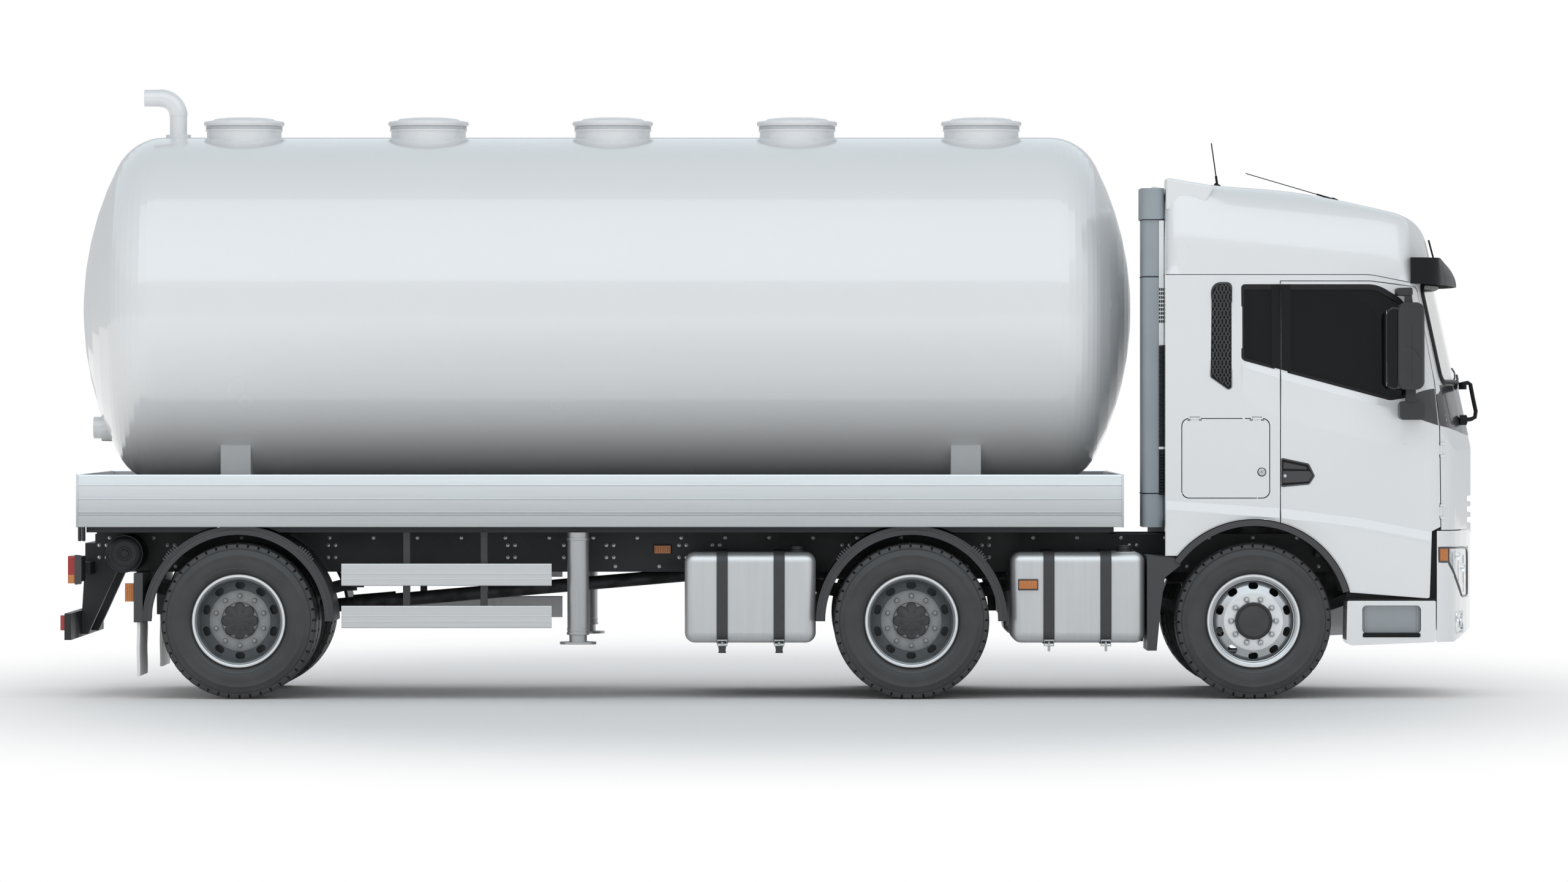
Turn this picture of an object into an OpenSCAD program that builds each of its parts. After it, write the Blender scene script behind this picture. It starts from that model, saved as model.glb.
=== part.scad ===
// Three-axle rigid tanker truck. X points forward, Y to the truck's left, Z up; millimetres.
// Lengths along X are measured from the front axle, heights from the ground.

/* [Chassis] */
// Foremost point of the cab ahead of the front axle
front_overhang = 1500; // [1470:1:1560]
// Front axle to middle axle
front_wheelbase = 2224; // [2150:1:2300]
// Middle axle to rear axle
rear_wheelbase = 4371; // [4300:1:4450]
// Rearmost reflector behind the rear axle
rear_overhang = 1160; // [1140:1:1220]
// Frame width over both rails
frame_width = 860; // [830:1:890]
// Frame rail height
rail_height = 250; // [230:1:270]
// Frame rail flange width
rail_flange = 80; // [60:1:90]
// Frame rail plate thickness
rail_plate = 9; // [7:0.5:12]
// Top of the frame rails above the ground
rail_top = 1060; // [1040:1:1075]
// Width of a leaf spring
spring_width = 80; // [60:1:90]
// Thickness of a spring pack
spring_pack = 70; // [50:1:90]

/* [Wheels] */
// Tyre outside diameter
tyre_d = 1014; // [990:1:1030]
// Tyre section width
tyre_width = 312; // [290:1:318]
// Rim seat diameter
rim_d = 572; // [560:1:580]
// Rim width between the flanges
rim_width = 234; // [220:1:240]
// Rim flange height above the seat
rim_flange = 16; // [12:1:20]
// Distance between the front wheel centres
front_track = 2060; // [2030:1:2080]
// Distance between the outer twin wheel centres
twin_track = 2160; // [2120:1:2170]
// Distance between the two tyres of a twin wheel
twin_spacing = 340; // [330:1:350]
// Wheel centre outboard of the kingpin axis
kingpin_offset = 100; // [90:1:110]
// Kingpin radius
kingpin_r = 25; // [20:0.5:30]
// Front spindle radius
front_spindle_r = 45; // [40:1:50]
// Drive axle spindle radius
rear_spindle_r = 50; // [45:1:60]
// Length of the steering arms
steering_arm = 170; // [150:1:180]
// Number of hand holes in a wheel disc
hand_holes = 10; // [8:1:10]

/* [Tank] */
// Tank length over both ends
tank_length = 6950; // [6800:1:7000]
// Front end of the tank behind the front axle
tank_front = 751; // [740:1:800]
// Tank outside radius
tank_radius = 1150; // [1100:1:1170]
// Gap between the bed floor and the tank
tank_gap = 217; // [190:1:240]
// Crown radius of the dished ends
dish_crown = 2100; // [1900:10:2300]
// Knuckle radius of the dished ends
dish_knuckle = 340; // [250:5:400]
// Tank plate thickness
tank_plate = 12; // [8:1:16]
// First and last manhole from the tank's ends
manhole_end = 1025; // [1000:1:1100]
// Middle manhole ahead of the tank's middle
manhole_shift = 35; // [0:1:60]
// Manhole neck outside radius
neck_r = 248; // [220:1:260]
// Manhole neck height above the tank
neck_height = 74; // [60:1:90]
// Manhole lid radius
lid_r = 264; // [255:1:272]
// Vent pipe outside radius
vent_r = 57; // [45:1:65]
// Outlet pipe outside radius
outlet_r = 73; // [60:1:80]
// Pipe wall thickness
pipe_wall = 8; // [5:0.5:12]
// Free length of the outlet pipe
outlet_reach = 53; // [40:1:58]
// Width of a tank cradle along the truck
cradle_width = 196; // [160:1:220]
// Half length of a tank cradle across the truck
cradle_half = 730; // [650:1:780]
// Front cradle behind the tank's front end
cradle_front = 1109; // [1000:1:1200]
// Rear cradle ahead of the tank's rear end
cradle_rear = 1054; // [1000:1:1150]

/* [Bed] */
// Front end of the bed behind the front axle
bed_front = 850; // [840:1:880]
// Bed length
bed_length = 6795; // [6700:1:6820]
// Bed width over the sideboards
bed_width = 2550; // [2500:1:2560]
// Lower edge of the sideboards
board_bottom = 1119; // [1100:1:1135]
// Height of the sideboards
board_height = 340; // [300:1:380]
// Thickness of the sideboards
board_plate = 28; // [20:1:36]
// Top of the bed floor
deck_top = 1170; // [1165:1:1185]
// Thickness of the bed floor
deck_plate = 30; // [20:1:30]

/* [Chassis fittings] */
// Fuel tank height
fuel_height = 588; // [560:1:600]
// Fuel tank width
fuel_width = 650; // [600:1:680]
// Underside of the fuel tanks
fuel_bottom = 366; // [340:1:380]
// Mudguard outside radius
guard_r = 622; // [615:1:626]
// Mudguard sheet thickness
guard_sheet = 9; // [6:0.5:12]
// Mudguard lip depth
guard_lip = 60; // [50:1:70]
// Side guard rail height
guard_rail = 145; // [120:1:150]
// Outer radius of the support leg tube
leg_r = 70; // [60:1:80]
// Support leg travel
leg_travel = 340; // [300:1:345]
// Support leg behind the front axle
leg_back = 4391; // [4360:1:4420]

/* [Cab] */
// Cab width
cab_width = 2490; // [2450:1:2500]
// Cab rear wall behind the front axle
cab_rear = 578; // [570:1:584]
// Highest point of the cab roof
cab_top = 3366; // [3300:1:3400]
// Cab wall thickness
cab_wall = 60; // [50:1:70]
// Roof cap skin thickness
roof_wall = 40; // [30:1:50]
// Radius of the cab front in plan
front_crown = 3500; // [3000:50:4200]
// Radius of the cab front corners in plan
cab_corner = 220; // [180:5:260]
// Rake of the windscreen from upright, degrees
rake = 12.3; // [10:0.1:14]
// Height of the lower windscreen edge
cowl = 2046; // [2030:1:2060]
// Roof seam above the lower windscreen edge
screen_rise = 711; // [690:1:720]
// Half width of the windscreen
screen_half = 1100; // [1060:1:1110]
// Thickness of the glass
glass = 8; // [5:0.5:10]
// Depth of the glass behind the outer skin
glass_inset = 14; // [8:1:20]
// Top of the cab floor
cab_floor = 1205; // [1200:1:1220]
// Thickness of the cab floor
floor_plate = 45; // [30:1:50]
// Radius of the front wheel arch
arch_r = 644; // [638:1:650]
// Width of the front arch flare
flare = 44; // [36:1:46]

/* [Clearances] */
// Gap between moving panels and their surrounds
panel_gap = 6; // [5:0.5:8]
// Radial play of a pin in its bore
pin_play = 0.3; // [0.2:0.05:0.4]
// Play between a seated piece and its seat
seat_play = 0.3; // [0.2:0.05:0.4]
// Radius of a hinge pin
hinge_pin = 5; // [4:0.5:7]

/* [Hidden] */
$fn = 48;
hub = tyre_d / 2;
mid_x = -front_wheelbase;
rear_x = mid_x - rear_wheelbase;
tail_x = rear_x - rear_overhang;
origin_x = (tail_x + front_overhang) / 2;
rail_y = frame_width / 2;
rail_bottom = rail_top - rail_height;
frame_tail = tail_x + 160;
frame_nose = 1270;
engine_tail = -394;
front_wheel_y = front_track / 2;
kingpin_y = front_wheel_y - kingpin_offset;
twin_y = twin_track / 2;
seat_r = rim_d / 2;
lip_r = seat_r + rim_flange;
bed_rear_x = -bed_front - bed_length;
deck_y = bed_width / 2 - board_plate;
deck_bottom = deck_top - deck_plate;
tank_mid_x = -tank_front - tank_length / 2;
tank_axis = deck_top + tank_gap + tank_radius;
tank_top = tank_axis + tank_radius;
neck_top = tank_top + neck_height;
lid_hinge_y = lid_r + 30;
lid_hinge_z = neck_top + 14;
manhole_x = [for (k = [-2:2]) tank_mid_x + manhole_shift + k * (tank_length / 2 - manhole_end) / 2];
fuel_outer = 1212;
fuel_inner = fuel_outer - fuel_width;
side_y = 1215;
beam_y = 1160;
cab_y = cab_width / 2;
screen_x = front_overhang - 72;
screen_z = 1960;
roof_seam = cowl + screen_rise;
door_hinge = [1213, cab_y - 22];
locker = [-468, 96, 1310, 1820];
locker_hinge_z = locker[3] + panel_gap / 2;
locker_hinge_x = [locker[0] + 80, locker[1] - 80];
arch_z = hub + 20;

function unit(v) = v / norm(v);

// Points of the arc that rounds corner b between a and c with radius r
function corner(a, b, c, r) =
    let (
        u = unit(a - b),
        v = unit(c - b),
        half = acos(max(-1, min(1, u * v))) / 2,
        middle = b + unit(u + v) * r / sin(half),
        p = b + u * r / tan(half) - middle,
        q = b + v * r / tan(half) - middle,
        first = atan2(p[1], p[0]),
        sweep = (atan2(q[1], q[0]) - first + 540) % 360 - 180,
        steps = max(2, ceil(abs(sweep) / 9))
    )
    [for (i = [0:steps]) middle + r * [cos(first + sweep * i / steps), sin(first + sweep * i / steps)]];

// Outline from rows of [u, v, corner radius]
function rounded(rows) =
    let (n = len(rows), at = function (i) [rows[i][0], rows[i][1]])
    [
        for (i = [0:n - 1])
            each rows[i][2] > 0
                ? corner(at((i + n - 1) % n), at(i), at((i + 1) % n), rows[i][2])
                : [at(i)]
    ];

// Rows of a rectangle from corner a to corner b with rounded corners
function frame_rows(a, b, r) = [[a[0], a[1], r], [b[0], a[1], r], [b[0], b[1], r], [a[0], b[1], r]];

function sag(y) = front_crown - sqrt(pow(front_crown, 2) - pow(y, 2));

module truck() {
    translate([-origin_x, 0, 0]) children();
}

module both_sides() {
    children();
    mirror([0, 1, 0]) children();
}

module block(a, b) {
    translate(a) cube(b - a);
}

// Extrudes an XZ outline along Y
module along_y(a, b) {
    translate([0, b, 0]) rotate([90, 0, 0]) linear_extrude(b - a) children();
}

// Extrudes a YZ outline along X
module along_x(a, b) {
    translate([a, 0, 0]) rotate([90, 0, 90]) linear_extrude(b - a) children();
}

// Round bar from a to b
module bar(a, b, r) {
    d = b - a;
    translate(a) rotate([0, acos(d[2] / norm(d)), atan2(d[1], d[0])]) cylinder(r = r, h = norm(d));
}

// Ring sector in XZ around the origin, from angle a to angle b
module sector(inner, outer, a, b) {
    far = outer * 1.5;
    intersection() {
        difference() {
            circle(outer, $fn = 180);
            circle(inner, $fn = 180);
        }
        polygon(concat([[0, 0]], [for (i = [0:4]) far * [cos(a + (b - a) * i / 4), sin(a + (b - a) * i / 4)]]));
    }
}

// Plan outline with half width y and its front at x, drawn in by t
function plan_rows(rear, x, y, t) =
    let (w = y - t, r = max(cab_corner - t, 80))
    concat(
        [[rear, -w, 0], [x - t - sag(w), -w, r]],
        [for (k = [-4:4]) [x - t - sag(k * w / 5), k * w / 5, 0]],
        [[x - t - sag(w), w, r], [rear, w, 0]]
    );

// Outer body of the cab, drawn in by t on every face
module cab_envelope(t) {
    intersection() {
        along_y(-2000, 2000) polygon(rounded([
            [-cab_rear + t, 300 - t, 0],
            [screen_x + 364 - t, 300 - t, 0],
            [screen_x - 246 - t, 3112 - t, 300],
            [305, cab_top - 60 - t, 2500],
            [-cab_rear + t, cab_top - t, 40]
        ]));
        translate([0, 0, 200]) linear_extrude(3600)
            polygon(rounded(plan_rows(-1200, front_overhang, cab_y, t)));
        translate([screen_x, 0, screen_z]) rotate([0, -rake, 0]) translate([0, 0, -2600])
            linear_extrude(4600) polygon(rounded(plan_rows(-3200, 0, cab_y + 25, t)));
        translate([305, 0, cab_top - 60]) rotate([0, 6, 0]) along_x(-1600, 2000)
            polygon(rounded([
                [-cab_y - 12 + t, -3400, 0],
                [cab_y + 12 - t, -3400, 0],
                [cab_y + 12 - t, -1150, 1500],
                [cab_y - 45 - t, -350 - t, 600],
                [cab_y - 105 - t, -125 - t, 220],
                [cab_y - 700 - t, 190 - t, 0],
                [-cab_y + 700 + t, 190 - t, 0],
                [-cab_y + 105 + t, -125 - t, 220],
                [-cab_y + 45 + t, -350 - t, 600],
                [-cab_y - 12 + t, -1150, 1500]
            ]));
    }
}

module cab_skin(t, depth) {
    difference() {
        cab_envelope(t);
        cab_envelope(depth);
    }
}

module roof_outline() {
    polygon([
        [-900, roof_seam], [760, roof_seam], [1060, roof_seam - 60], [1900, roof_seam - 60],
        [1900, 3700], [-900, 3700]
    ]);
}

module door_outline() {
    polygon(rounded([
        [172, 1000, 0],
        [603, 696, 0],
        [1138, 655, 20],
        [1152, 1092, 0],
        [1209, 1120, 0],
        [1201, 1767, 400],
        [1170, cowl + 8, 500],
        [1058, roof_seam - 99, 0],
        [1042, roof_seam - 81, 0],
        [760, roof_seam - 44, 0],
        [172, roof_seam - 44, 0]
    ]));
}

module window_outline() {
    polygon(rounded([
        [-79, cowl + 161, 30], [879, cowl - 100, 60], [1010, cowl - 78, 60],
        [985, roof_seam - 197, 110], [790, roof_seam - 85, 160], [-79, roof_seam - 85, 20]
    ]));
}

// Windows in the door and behind it
module door_window() {
    intersection() {
        window_outline();
        translate([220, 1500]) square([900, 1500]);
    }
}

module quarter_window() {
    intersection() {
        window_outline();
        translate([-200, 1500]) square([325, 1500]);
    }
}

module screen_outline() {
    polygon(rounded(frame_rows([-screen_half, cowl + 14], [screen_half, roof_seam - 74], 70)));
}

// Part of the front that the front panel covers
module front_outline() {
    polygon([
        [1209 + panel_gap, 1100], [1209 + panel_gap, 1120], [1201 + panel_gap, 1767],
        [1170 + panel_gap, cowl], [2200, cowl], [2200, 1100]
    ]);
}

module hinge_barrels(heights, r, grow) {
    for (z = heights)
        translate([door_hinge[0], -door_hinge[1], z - grow]) cylinder(r = r, h = 60 + 2 * grow);
}

door_hinges = [1190, 1590];

module frame() {
    color("#1d1e20") truck() {
        both_sides() along_x(frame_tail, frame_nose) polygon([
            [-rail_y, rail_bottom],
            [-rail_y + rail_flange, rail_bottom],
            [-rail_y + rail_flange, rail_bottom + rail_plate],
            [-rail_y + rail_plate, rail_bottom + rail_plate],
            [-rail_y + rail_plate, rail_top - rail_plate],
            [-rail_y + rail_flange, rail_top - rail_plate],
            [-rail_y + rail_flange, rail_top],
            [-rail_y, rail_top]
        ]);
        for (x = [frame_tail + 50, rear_x - 500, rear_x + 560, -4850, -3500, mid_x - 420, mid_x + 500, -750, 1180])
            block([x - 40, -rail_y + rail_plate / 2, rail_top - 172],
                [x + 40, rail_y - rail_plate / 2, rail_top - 20]);
        both_sides() for (x = [-440, 1000])
            block([x - 60, -rail_y, rail_top - 1],
                [x + 60, -rail_y + rail_flange, cab_floor - floor_plate - seat_play]);
    }
}

module axle_tube(x) {
    translate([x, 0, hub]) rotate([90, 0, 0]) rotate_extrude() polygon([
        [0, -twin_y + 25], [rear_spindle_r, -twin_y + 25], [rear_spindle_r, -twin_y + twin_spacing],
        [75, -twin_y + twin_spacing], [75, twin_y - twin_spacing],
        [rear_spindle_r, twin_y - twin_spacing], [rear_spindle_r, twin_y - 25], [0, twin_y - 25]
    ]);
}

module axles() {
    color("#232427") truck() {
        both_sides() {
            along_x(-45, 45) polygon([
                [0, 365], [-560, 365], [-800, 455], [-kingpin_y, 455],
                [-kingpin_y, 560], [-810, 560], [-620, 470], [0, 470]
            ]);
            translate([0, -kingpin_y, 437]) cylinder(r = 50, h = 140);
            translate([0, -kingpin_y, 392]) cylinder(r = kingpin_r, h = 230);
        }
        axle_tube(mid_x);
        axle_tube(rear_x);
        translate([rear_x, 0, hub]) rotate([90, 0, 0]) rotate_extrude() polygon(rounded([
            [0, -330, 0], [75, -330, 0], [205, -140, 60], [205, 140, 60], [75, 330, 0], [0, 330, 0]
        ]));
        bar([rear_x, 0, hub + 50], [rear_x + 290, 0, hub + 50], 90);
    }
}

// Leaf spring pack with hangers, its seat at z
module leaf_spring(x, z, half, rise) {
    bend = (half * half + rise * rise) / (2 * rise);
    along_y(-rail_y - spring_width / 2 + 5, -rail_y + spring_width / 2 + 5) {
        intersection() {
            translate([x, z + bend]) difference() {
                circle(bend, $fn = 360);
                circle(bend - spring_pack, $fn = 360);
            }
            translate([x - half, z]) square([2 * half, rise + spring_pack + 5]);
        }
        for (side = [-1, 1])
            translate([x + side * (half - 40) - 45, z + rise - 20])
                square([90, rail_bottom - z - rise + 20]);
        translate([x - 95, z]) square([190, spring_pack + 25]);
    }
}

module leaf_springs() {
    color("#2a2b2e") truck() both_sides() {
        leaf_spring(0, 470, 760, 170);
        for (x = [mid_x, rear_x]) difference() {
            union() {
                leaf_spring(x, hub + 90, 720, 110);
                block([x - 95, -rail_y - spring_width / 2 + 5, hub + 10],
                    [x + 95, -rail_y + spring_width / 2 + 5, hub + 90]);
            }
            translate([x, 0, hub]) rotate([90, 0, 0]) cylinder(r = 75 + seat_play, h = 1200, center = true);
        }
    }
}

module prop_shaft() {
    joint = [-3500, 0, rail_top - 262];
    rear_end = [rear_x + 290 + seat_play, 0, hub + 50];
    front_end = [engine_tail - seat_play, 0, rail_top - 262];
    color("#303236") truck() {
        bar(rear_end, rear_end + [45, 0, 0], 75);
        bar(rear_end + [25, 0, 0], joint, 45);
        bar(joint, front_end, 45);
        bar(rear_end + 0.02 * (joint - rear_end), rear_end + 0.06 * (joint - rear_end), 66);
        bar(rear_end + 0.14 * (joint - rear_end), rear_end + 0.24 * (joint - rear_end), 57);
        bar(joint - [60, 0, 0], joint + [60, 0, 0], 70);
        block(joint + [-40, -60, 40], joint + [40, 60, 90]);
        bar(front_end - [110, 0, 0], front_end, 75);
    }
}

module engine() {
    color("#4b4e52") truck() difference() {
        union() {
            block([engine_tail, -rail_y + rail_flange + 8, 640], [900, rail_y - rail_flange - 8, 1140]);
            for (x = [-250, 650])
                block([x - 50, -rail_y + rail_plate + seat_play, 880], [x + 50, rail_y - rail_plate - seat_play, 950]);
        }
        block([-500, -500, 500], [-150, 500, rail_top - 380]);
    }
}

module guard_cut(x, r) {
    translate([x, 0, hub]) rotate([90, 0, 0]) cylinder(r = r, h = 3000, center = true);
}

module bed_deck() {
    color("#3a3c3f") truck() difference() {
        union() {
            block([bed_rear_x + board_plate, -deck_y, deck_bottom], [-bed_front - board_plate, deck_y, deck_top]);
            both_sides() {
                block([bed_rear_x + 60, -rail_y, rail_top], [-bed_front - 60, -rail_y + rail_flange, deck_bottom]);
                block([bed_rear_x + 60, -beam_y - 25, board_bottom - 36],
                    [-bed_front - 60, -beam_y + 25, deck_bottom]);
            }
            for (x = [bed_rear_x + 160, -5750, -5050, -4391, -3600, -3150, -1300, -bed_front - 120])
                block([x - 40, -beam_y, board_bottom - 36], [x + 40, beam_y, deck_bottom]);
        }
        guard_cut(mid_x, guard_r + 12);
        guard_cut(rear_x, guard_r + 12);
    }
}

// Section of a sideboard from its inner face: planks with raised beads between them
module board_section() {
    y = bed_width / 2;
    top = board_bottom + board_height;
    beads = [board_bottom + 81, board_bottom + 97, board_bottom + 183, board_bottom + 273];
    polygon(concat(
        [[deck_y, top - 4], [deck_y, board_bottom], [y - 3, board_bottom], [y, board_bottom + 4]],
        [for (z = beads) each [[y - 5, z - 9], [y - 5, z - 7], [y, z - 2], [y, z], [y - 5, z + 5]]],
        [[y - 12, top - 8], [y - 18, top], [deck_y + 3, top]]
    ));
}

module sideboards() {
    color("#b9bdc0") truck() {
        mirror([0, 1, 0]) along_x(bed_rear_x, -bed_front) board_section();
        along_x(bed_rear_x, -bed_front) board_section();
        for (x = [bed_rear_x, -bed_front - board_plate])
            block([x, -deck_y - 1, board_bottom], [x + board_plate, deck_y + 1, board_bottom + board_height]);
    }
}

// Half section of a dished tank, drawn in by t: [radius, distance along the axis]
function tank_half(t) =
    let (
        crown = dish_crown - t,
        knuckle = dish_knuckle - t,
        a = asin((tank_radius - dish_knuckle) / (dish_crown - dish_knuckle)),
        end = tank_length / 2 - t
    )
    concat(
        [for (i = [0:6]) let (f = a * i / 6) [crown * sin(f), end - crown + crown * cos(f)]],
        [
            for (i = [1:8]) let (f = a + (90 - a) * i / 8)
                [
                    tank_radius - dish_knuckle + knuckle * sin(f),
                    end - crown + (crown - knuckle) * cos(a) + knuckle * cos(f)
                ]
        ]
    );

function tank_section(t) =
    let (h = tank_half(t), n = len(h))
    concat(h, [for (i = [n - 1:-1:0]) [h[i][0], -h[i][1]]]);

vent_x = -tank_front - tank_length + 623;
outlet = [-tank_front - tank_length + 60, 0, tank_axis - 778];
vent_z = tank_top + 262;
vent_bend = 120;

module vent_path(r, elbow) {
    translate([vent_x, 0, tank_top - 60]) cylinder(r = r, h = vent_z - vent_bend - tank_top + 61);
    translate([vent_x - vent_bend, 0, vent_z - vent_bend]) rotate([90, 0, 0])
        rotate_extrude(angle = 90) translate([vent_bend, 0]) circle(elbow);
    bar([vent_x - vent_bend + 1, 0, vent_z], [vent_x - 225, 0, vent_z], r);
}

module tank_shell() {
    color("#eceff1") truck() difference() {
        union() {
            translate([tank_mid_x, 0, tank_axis]) rotate([0, 90, 0]) rotate_extrude() polygon(tank_section(0));
            for (x = manhole_x) {
                translate([x, 0, tank_top - 60]) cylinder(r = neck_r, h = neck_height + 60);
                translate([x, 0, neck_top - 34]) cylinder(r = neck_r + 8, h = 12);
                for (side = [-1, 1]) {
                    block([x + side * 45 - 10, neck_r - 20, neck_top - 40],
                        [x + side * 45 + 10, lid_hinge_y + 16, neck_top - panel_gap]);
                    block([x + side * 45 - 10, lid_r + panel_gap, neck_top - panel_gap - 1],
                        [x + side * 45 + 10, lid_hinge_y + 16, lid_hinge_z + 14]);
                }
                bar([x - 50, lid_hinge_y, lid_hinge_z], [x + 50, lid_hinge_y, lid_hinge_z], hinge_pin + 3);
            }
            vent_path(vent_r, vent_r + 3);
            translate([vent_x, 0, tank_top - 60]) cylinder(r = vent_r + 26, h = 78);
            bar(outlet, outlet + [340, 0, 0], outlet_r);
            bar(outlet + [outlet_reach, 0, 0], outlet + [120, 0, 0], outlet_r + 18);
        }
        translate([tank_mid_x, 0, tank_axis]) rotate([0, 90, 0]) rotate_extrude() polygon(tank_section(tank_plate));
        for (x = manhole_x)
            translate([x, 0, tank_top - 90]) cylinder(r = neck_r - 12, h = neck_height + 120);
        vent_path(vent_r - pipe_wall, vent_r - pipe_wall - 2);
        bar([vent_x - 200, 0, vent_z], [vent_x - 260, 0, vent_z], vent_r - pipe_wall);
        bar(outlet - [60, 0, 0], outlet + [360, 0, 0], outlet_r - pipe_wall);
    }
}

module tank_cradles() {
    color("#d5d8da") truck() for (x = [-tank_front - tank_length + cradle_rear, -tank_front - cradle_front])
        along_x(x - cradle_width / 2, x + cradle_width / 2) difference() {
            translate([-cradle_half, deck_top]) square([2 * cradle_half, tank_gap + tank_radius]);
            translate([0, tank_axis]) circle(tank_radius + seat_play, $fn = 240);
            translate([-cradle_half + 40, deck_top + 12]) square([2 * cradle_half - 80, 80]);
        }
}

module mudguard(x) {
    translate([x, 0, hub]) {
        along_y(-1244, -580) sector(guard_r - guard_sheet, guard_r, 0, 180);
        along_y(-1244, -1234) sector(guard_r - guard_lip, guard_r, 0, 180);
        for (a = [45, 135])
            bar([(guard_r - 20) * cos(a), -rail_y, (guard_r - 20) * sin(a)],
                [(guard_r - 20) * cos(a), -700, (guard_r - 20) * sin(a)], 18);
    }
}

module mudguards() {
    color("#17181a") truck() both_sides() {
        mudguard(mid_x);
        mudguard(rear_x);
        block([rear_x - guard_r - 56, -1244, 500], [rear_x - guard_r + 2, -600, 820]);
        block([rear_x - guard_r - 34, -1220, 150], [rear_x - guard_r - 20, -620, 510]);
        translate([0, 0, arch_z]) {
            along_y(-cab_y - 16, -1172) sector(arch_r - flare, arch_r - panel_gap, 16, 144);
            along_y(-1174, -690) sector(arch_r - 36, arch_r - 24, 16, 144);
            for (a = [42, 138])
                bar([600 * cos(a), -rail_y, 600 * sin(a)], [600 * cos(a), -760, 600 * sin(a)], 16);
        }
        along_y(-cab_y + 10, -690) polygon([
            [-695, 932], [-520, 922], [-478, 872], [-580, 790], [-608, 585], [-633, 316], [-695, 316]
        ]);
    }
}

module red_lamps() {
    color("#b01818") truck() both_sides() {
        block([tail_x + 48, -1160, 752], [tail_x + 94 - seat_play, -800, 929]);
        for (y = [-1130, -330])
            block([tail_x, y - 45, 446], [tail_x + 28 - seat_play, y + 45, 543]);
    }
}

module underrun_bar() {
    color("#2b2c2f") truck() {
        block([tail_x + 28, -1200, 384], [tail_x + 72, 1200, 556]);
        both_sides() {
            block([tail_x + 94, -1170, 760], [tail_x + 128, -790, 924]);
            block([tail_x + 94, -800, 800], [tail_x + 160, -rail_y + rail_flange, 880]);
            along_y(-rail_y, -rail_y + rail_flange) polygon([
                [tail_x + 72, 400], [tail_x + 112, 400], [tail_x + 160 + 140, rail_bottom],
                [tail_x + 160, rail_bottom], [tail_x + 160, 900], [tail_x + 94, 900], [tail_x + 72, 540]
            ]);
        }
        block([tail_x + 94, -rail_y, 840], [tail_x + 160, rail_y, 1000]);
    }
}

module amber_lamps() {
    color("#d97c1a") truck() both_sides() {
        block([rear_x - guard_r - 116, -1200, 634], [rear_x - guard_r - 56 - seat_play, -1090, 752]);
        block([-3907, -rail_y - 26, 932], [-3800, -rail_y - seat_play, 982]);
        block([-1526, -fuel_outer - 24, 718], [-1409, -fuel_outer - seat_play, 771]);
    }
}

module air_reservoirs() {
    color("#26282b") truck() both_sides() {
        translate([rear_x - 770, -rail_y - 30, rail_top - 122]) rotate([90, 0, 0]) rotate_extrude()
            polygon(rounded([[0, 0, 0], [124, 0, 40], [124, 440, 40], [0, 440, 0]]));
        block([rear_x - 810, -rail_y - 40, rail_top - 180], [rear_x - 730, -rail_y, rail_top - 60]);
    }
}

// Fuel tanks: rear end, front end and corner radius along X
fuel_spans = [[-3698, -2846, 80], [-1576, -707, 40]];

// Straps of each fuel tank: distance from its rear end
strap_offsets = [[208, 280], [578, 650]];

module fuel_section(grow) {
    polygon(rounded(frame_rows(
        [-fuel_outer - grow, fuel_bottom - grow],
        [-fuel_inner + grow, fuel_bottom + fuel_height + grow],
        70 + grow
    )));
}

module fuel_tanks() {
    color("#c3c7ca") truck() both_sides() for (span = fuel_spans) intersection() {
        along_x(span[0], span[1]) fuel_section(0);
        along_y(-1400, -300) polygon(rounded(frame_rows(
            [span[0], fuel_bottom - 1], [span[1], fuel_bottom + fuel_height + 1], span[2]
        )));
    }
}

module tank_straps() {
    color("#202124") truck() both_sides() for (span = fuel_spans, offset = strap_offsets)
        along_x(span[0] + offset[0], span[0] + offset[1]) difference() {
            union() {
                fuel_section(8);
                translate([-fuel_inner - 20, 826]) square([fuel_inner + 20 - rail_y, 110]);
            }
            fuel_section(seat_play);
        }
}

module side_guards() {
    color("#b9bdc0") truck() both_sides() {
        for (z = [463, 737])
            along_x(-5925, -4561) polygon(rounded(frame_rows([-side_y - 30, z], [-side_y, z + guard_rail], 8)));
        for (x = [-5504, -5001]) {
            block([x - 22, -side_y, 470], [x + 22, -side_y + 30, 870]);
            block([x - 22, -side_y + 28, 700], [x + 22, -beam_y + 25, board_bottom - 36]);
        }
    }
}

module leg_tubes() {
    color("#9fa4a8") truck() both_sides() difference() {
        union() {
            translate([-leg_back, -beam_y, 425]) cylinder(r = leg_r, h = board_bottom - 36 - 425);
            block([-leg_back - 40, -beam_y, 880], [-leg_back + 40, -rail_y, 950]);
        }
        translate([-leg_back, -beam_y, 400]) cylinder(r = leg_r - 12, h = 650);
    }
}

module leg_right() {
    color("#b4b8bb") truck() translate([-leg_back, -beam_y, 0]) {
        translate([0, 0, 356]) cylinder(r = 119, h = 16);
        translate([0, 0, 370]) cylinder(r = leg_r - 12 - pin_play, h = 660);
    }
}

module leg_left() {
    mirror([0, 1, 0]) leg_right();
}

module bumper() {
    color("#e9ecee") truck() {
        difference() {
            bumper_ring(0, 70);
            both_sides() {
                headlamp_pocket(seat_play);
                fog_pocket(seat_play);
            }
            for (z = [530, 610, 690, 770, 850, 930])
                block([1300, -320, z], [1700, 320, z + 44]);
        }
        both_sides() block([frame_nose, -rail_y, 850], [front_overhang - 85, -rail_y + rail_flange, 1000]);
    }
}

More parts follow.
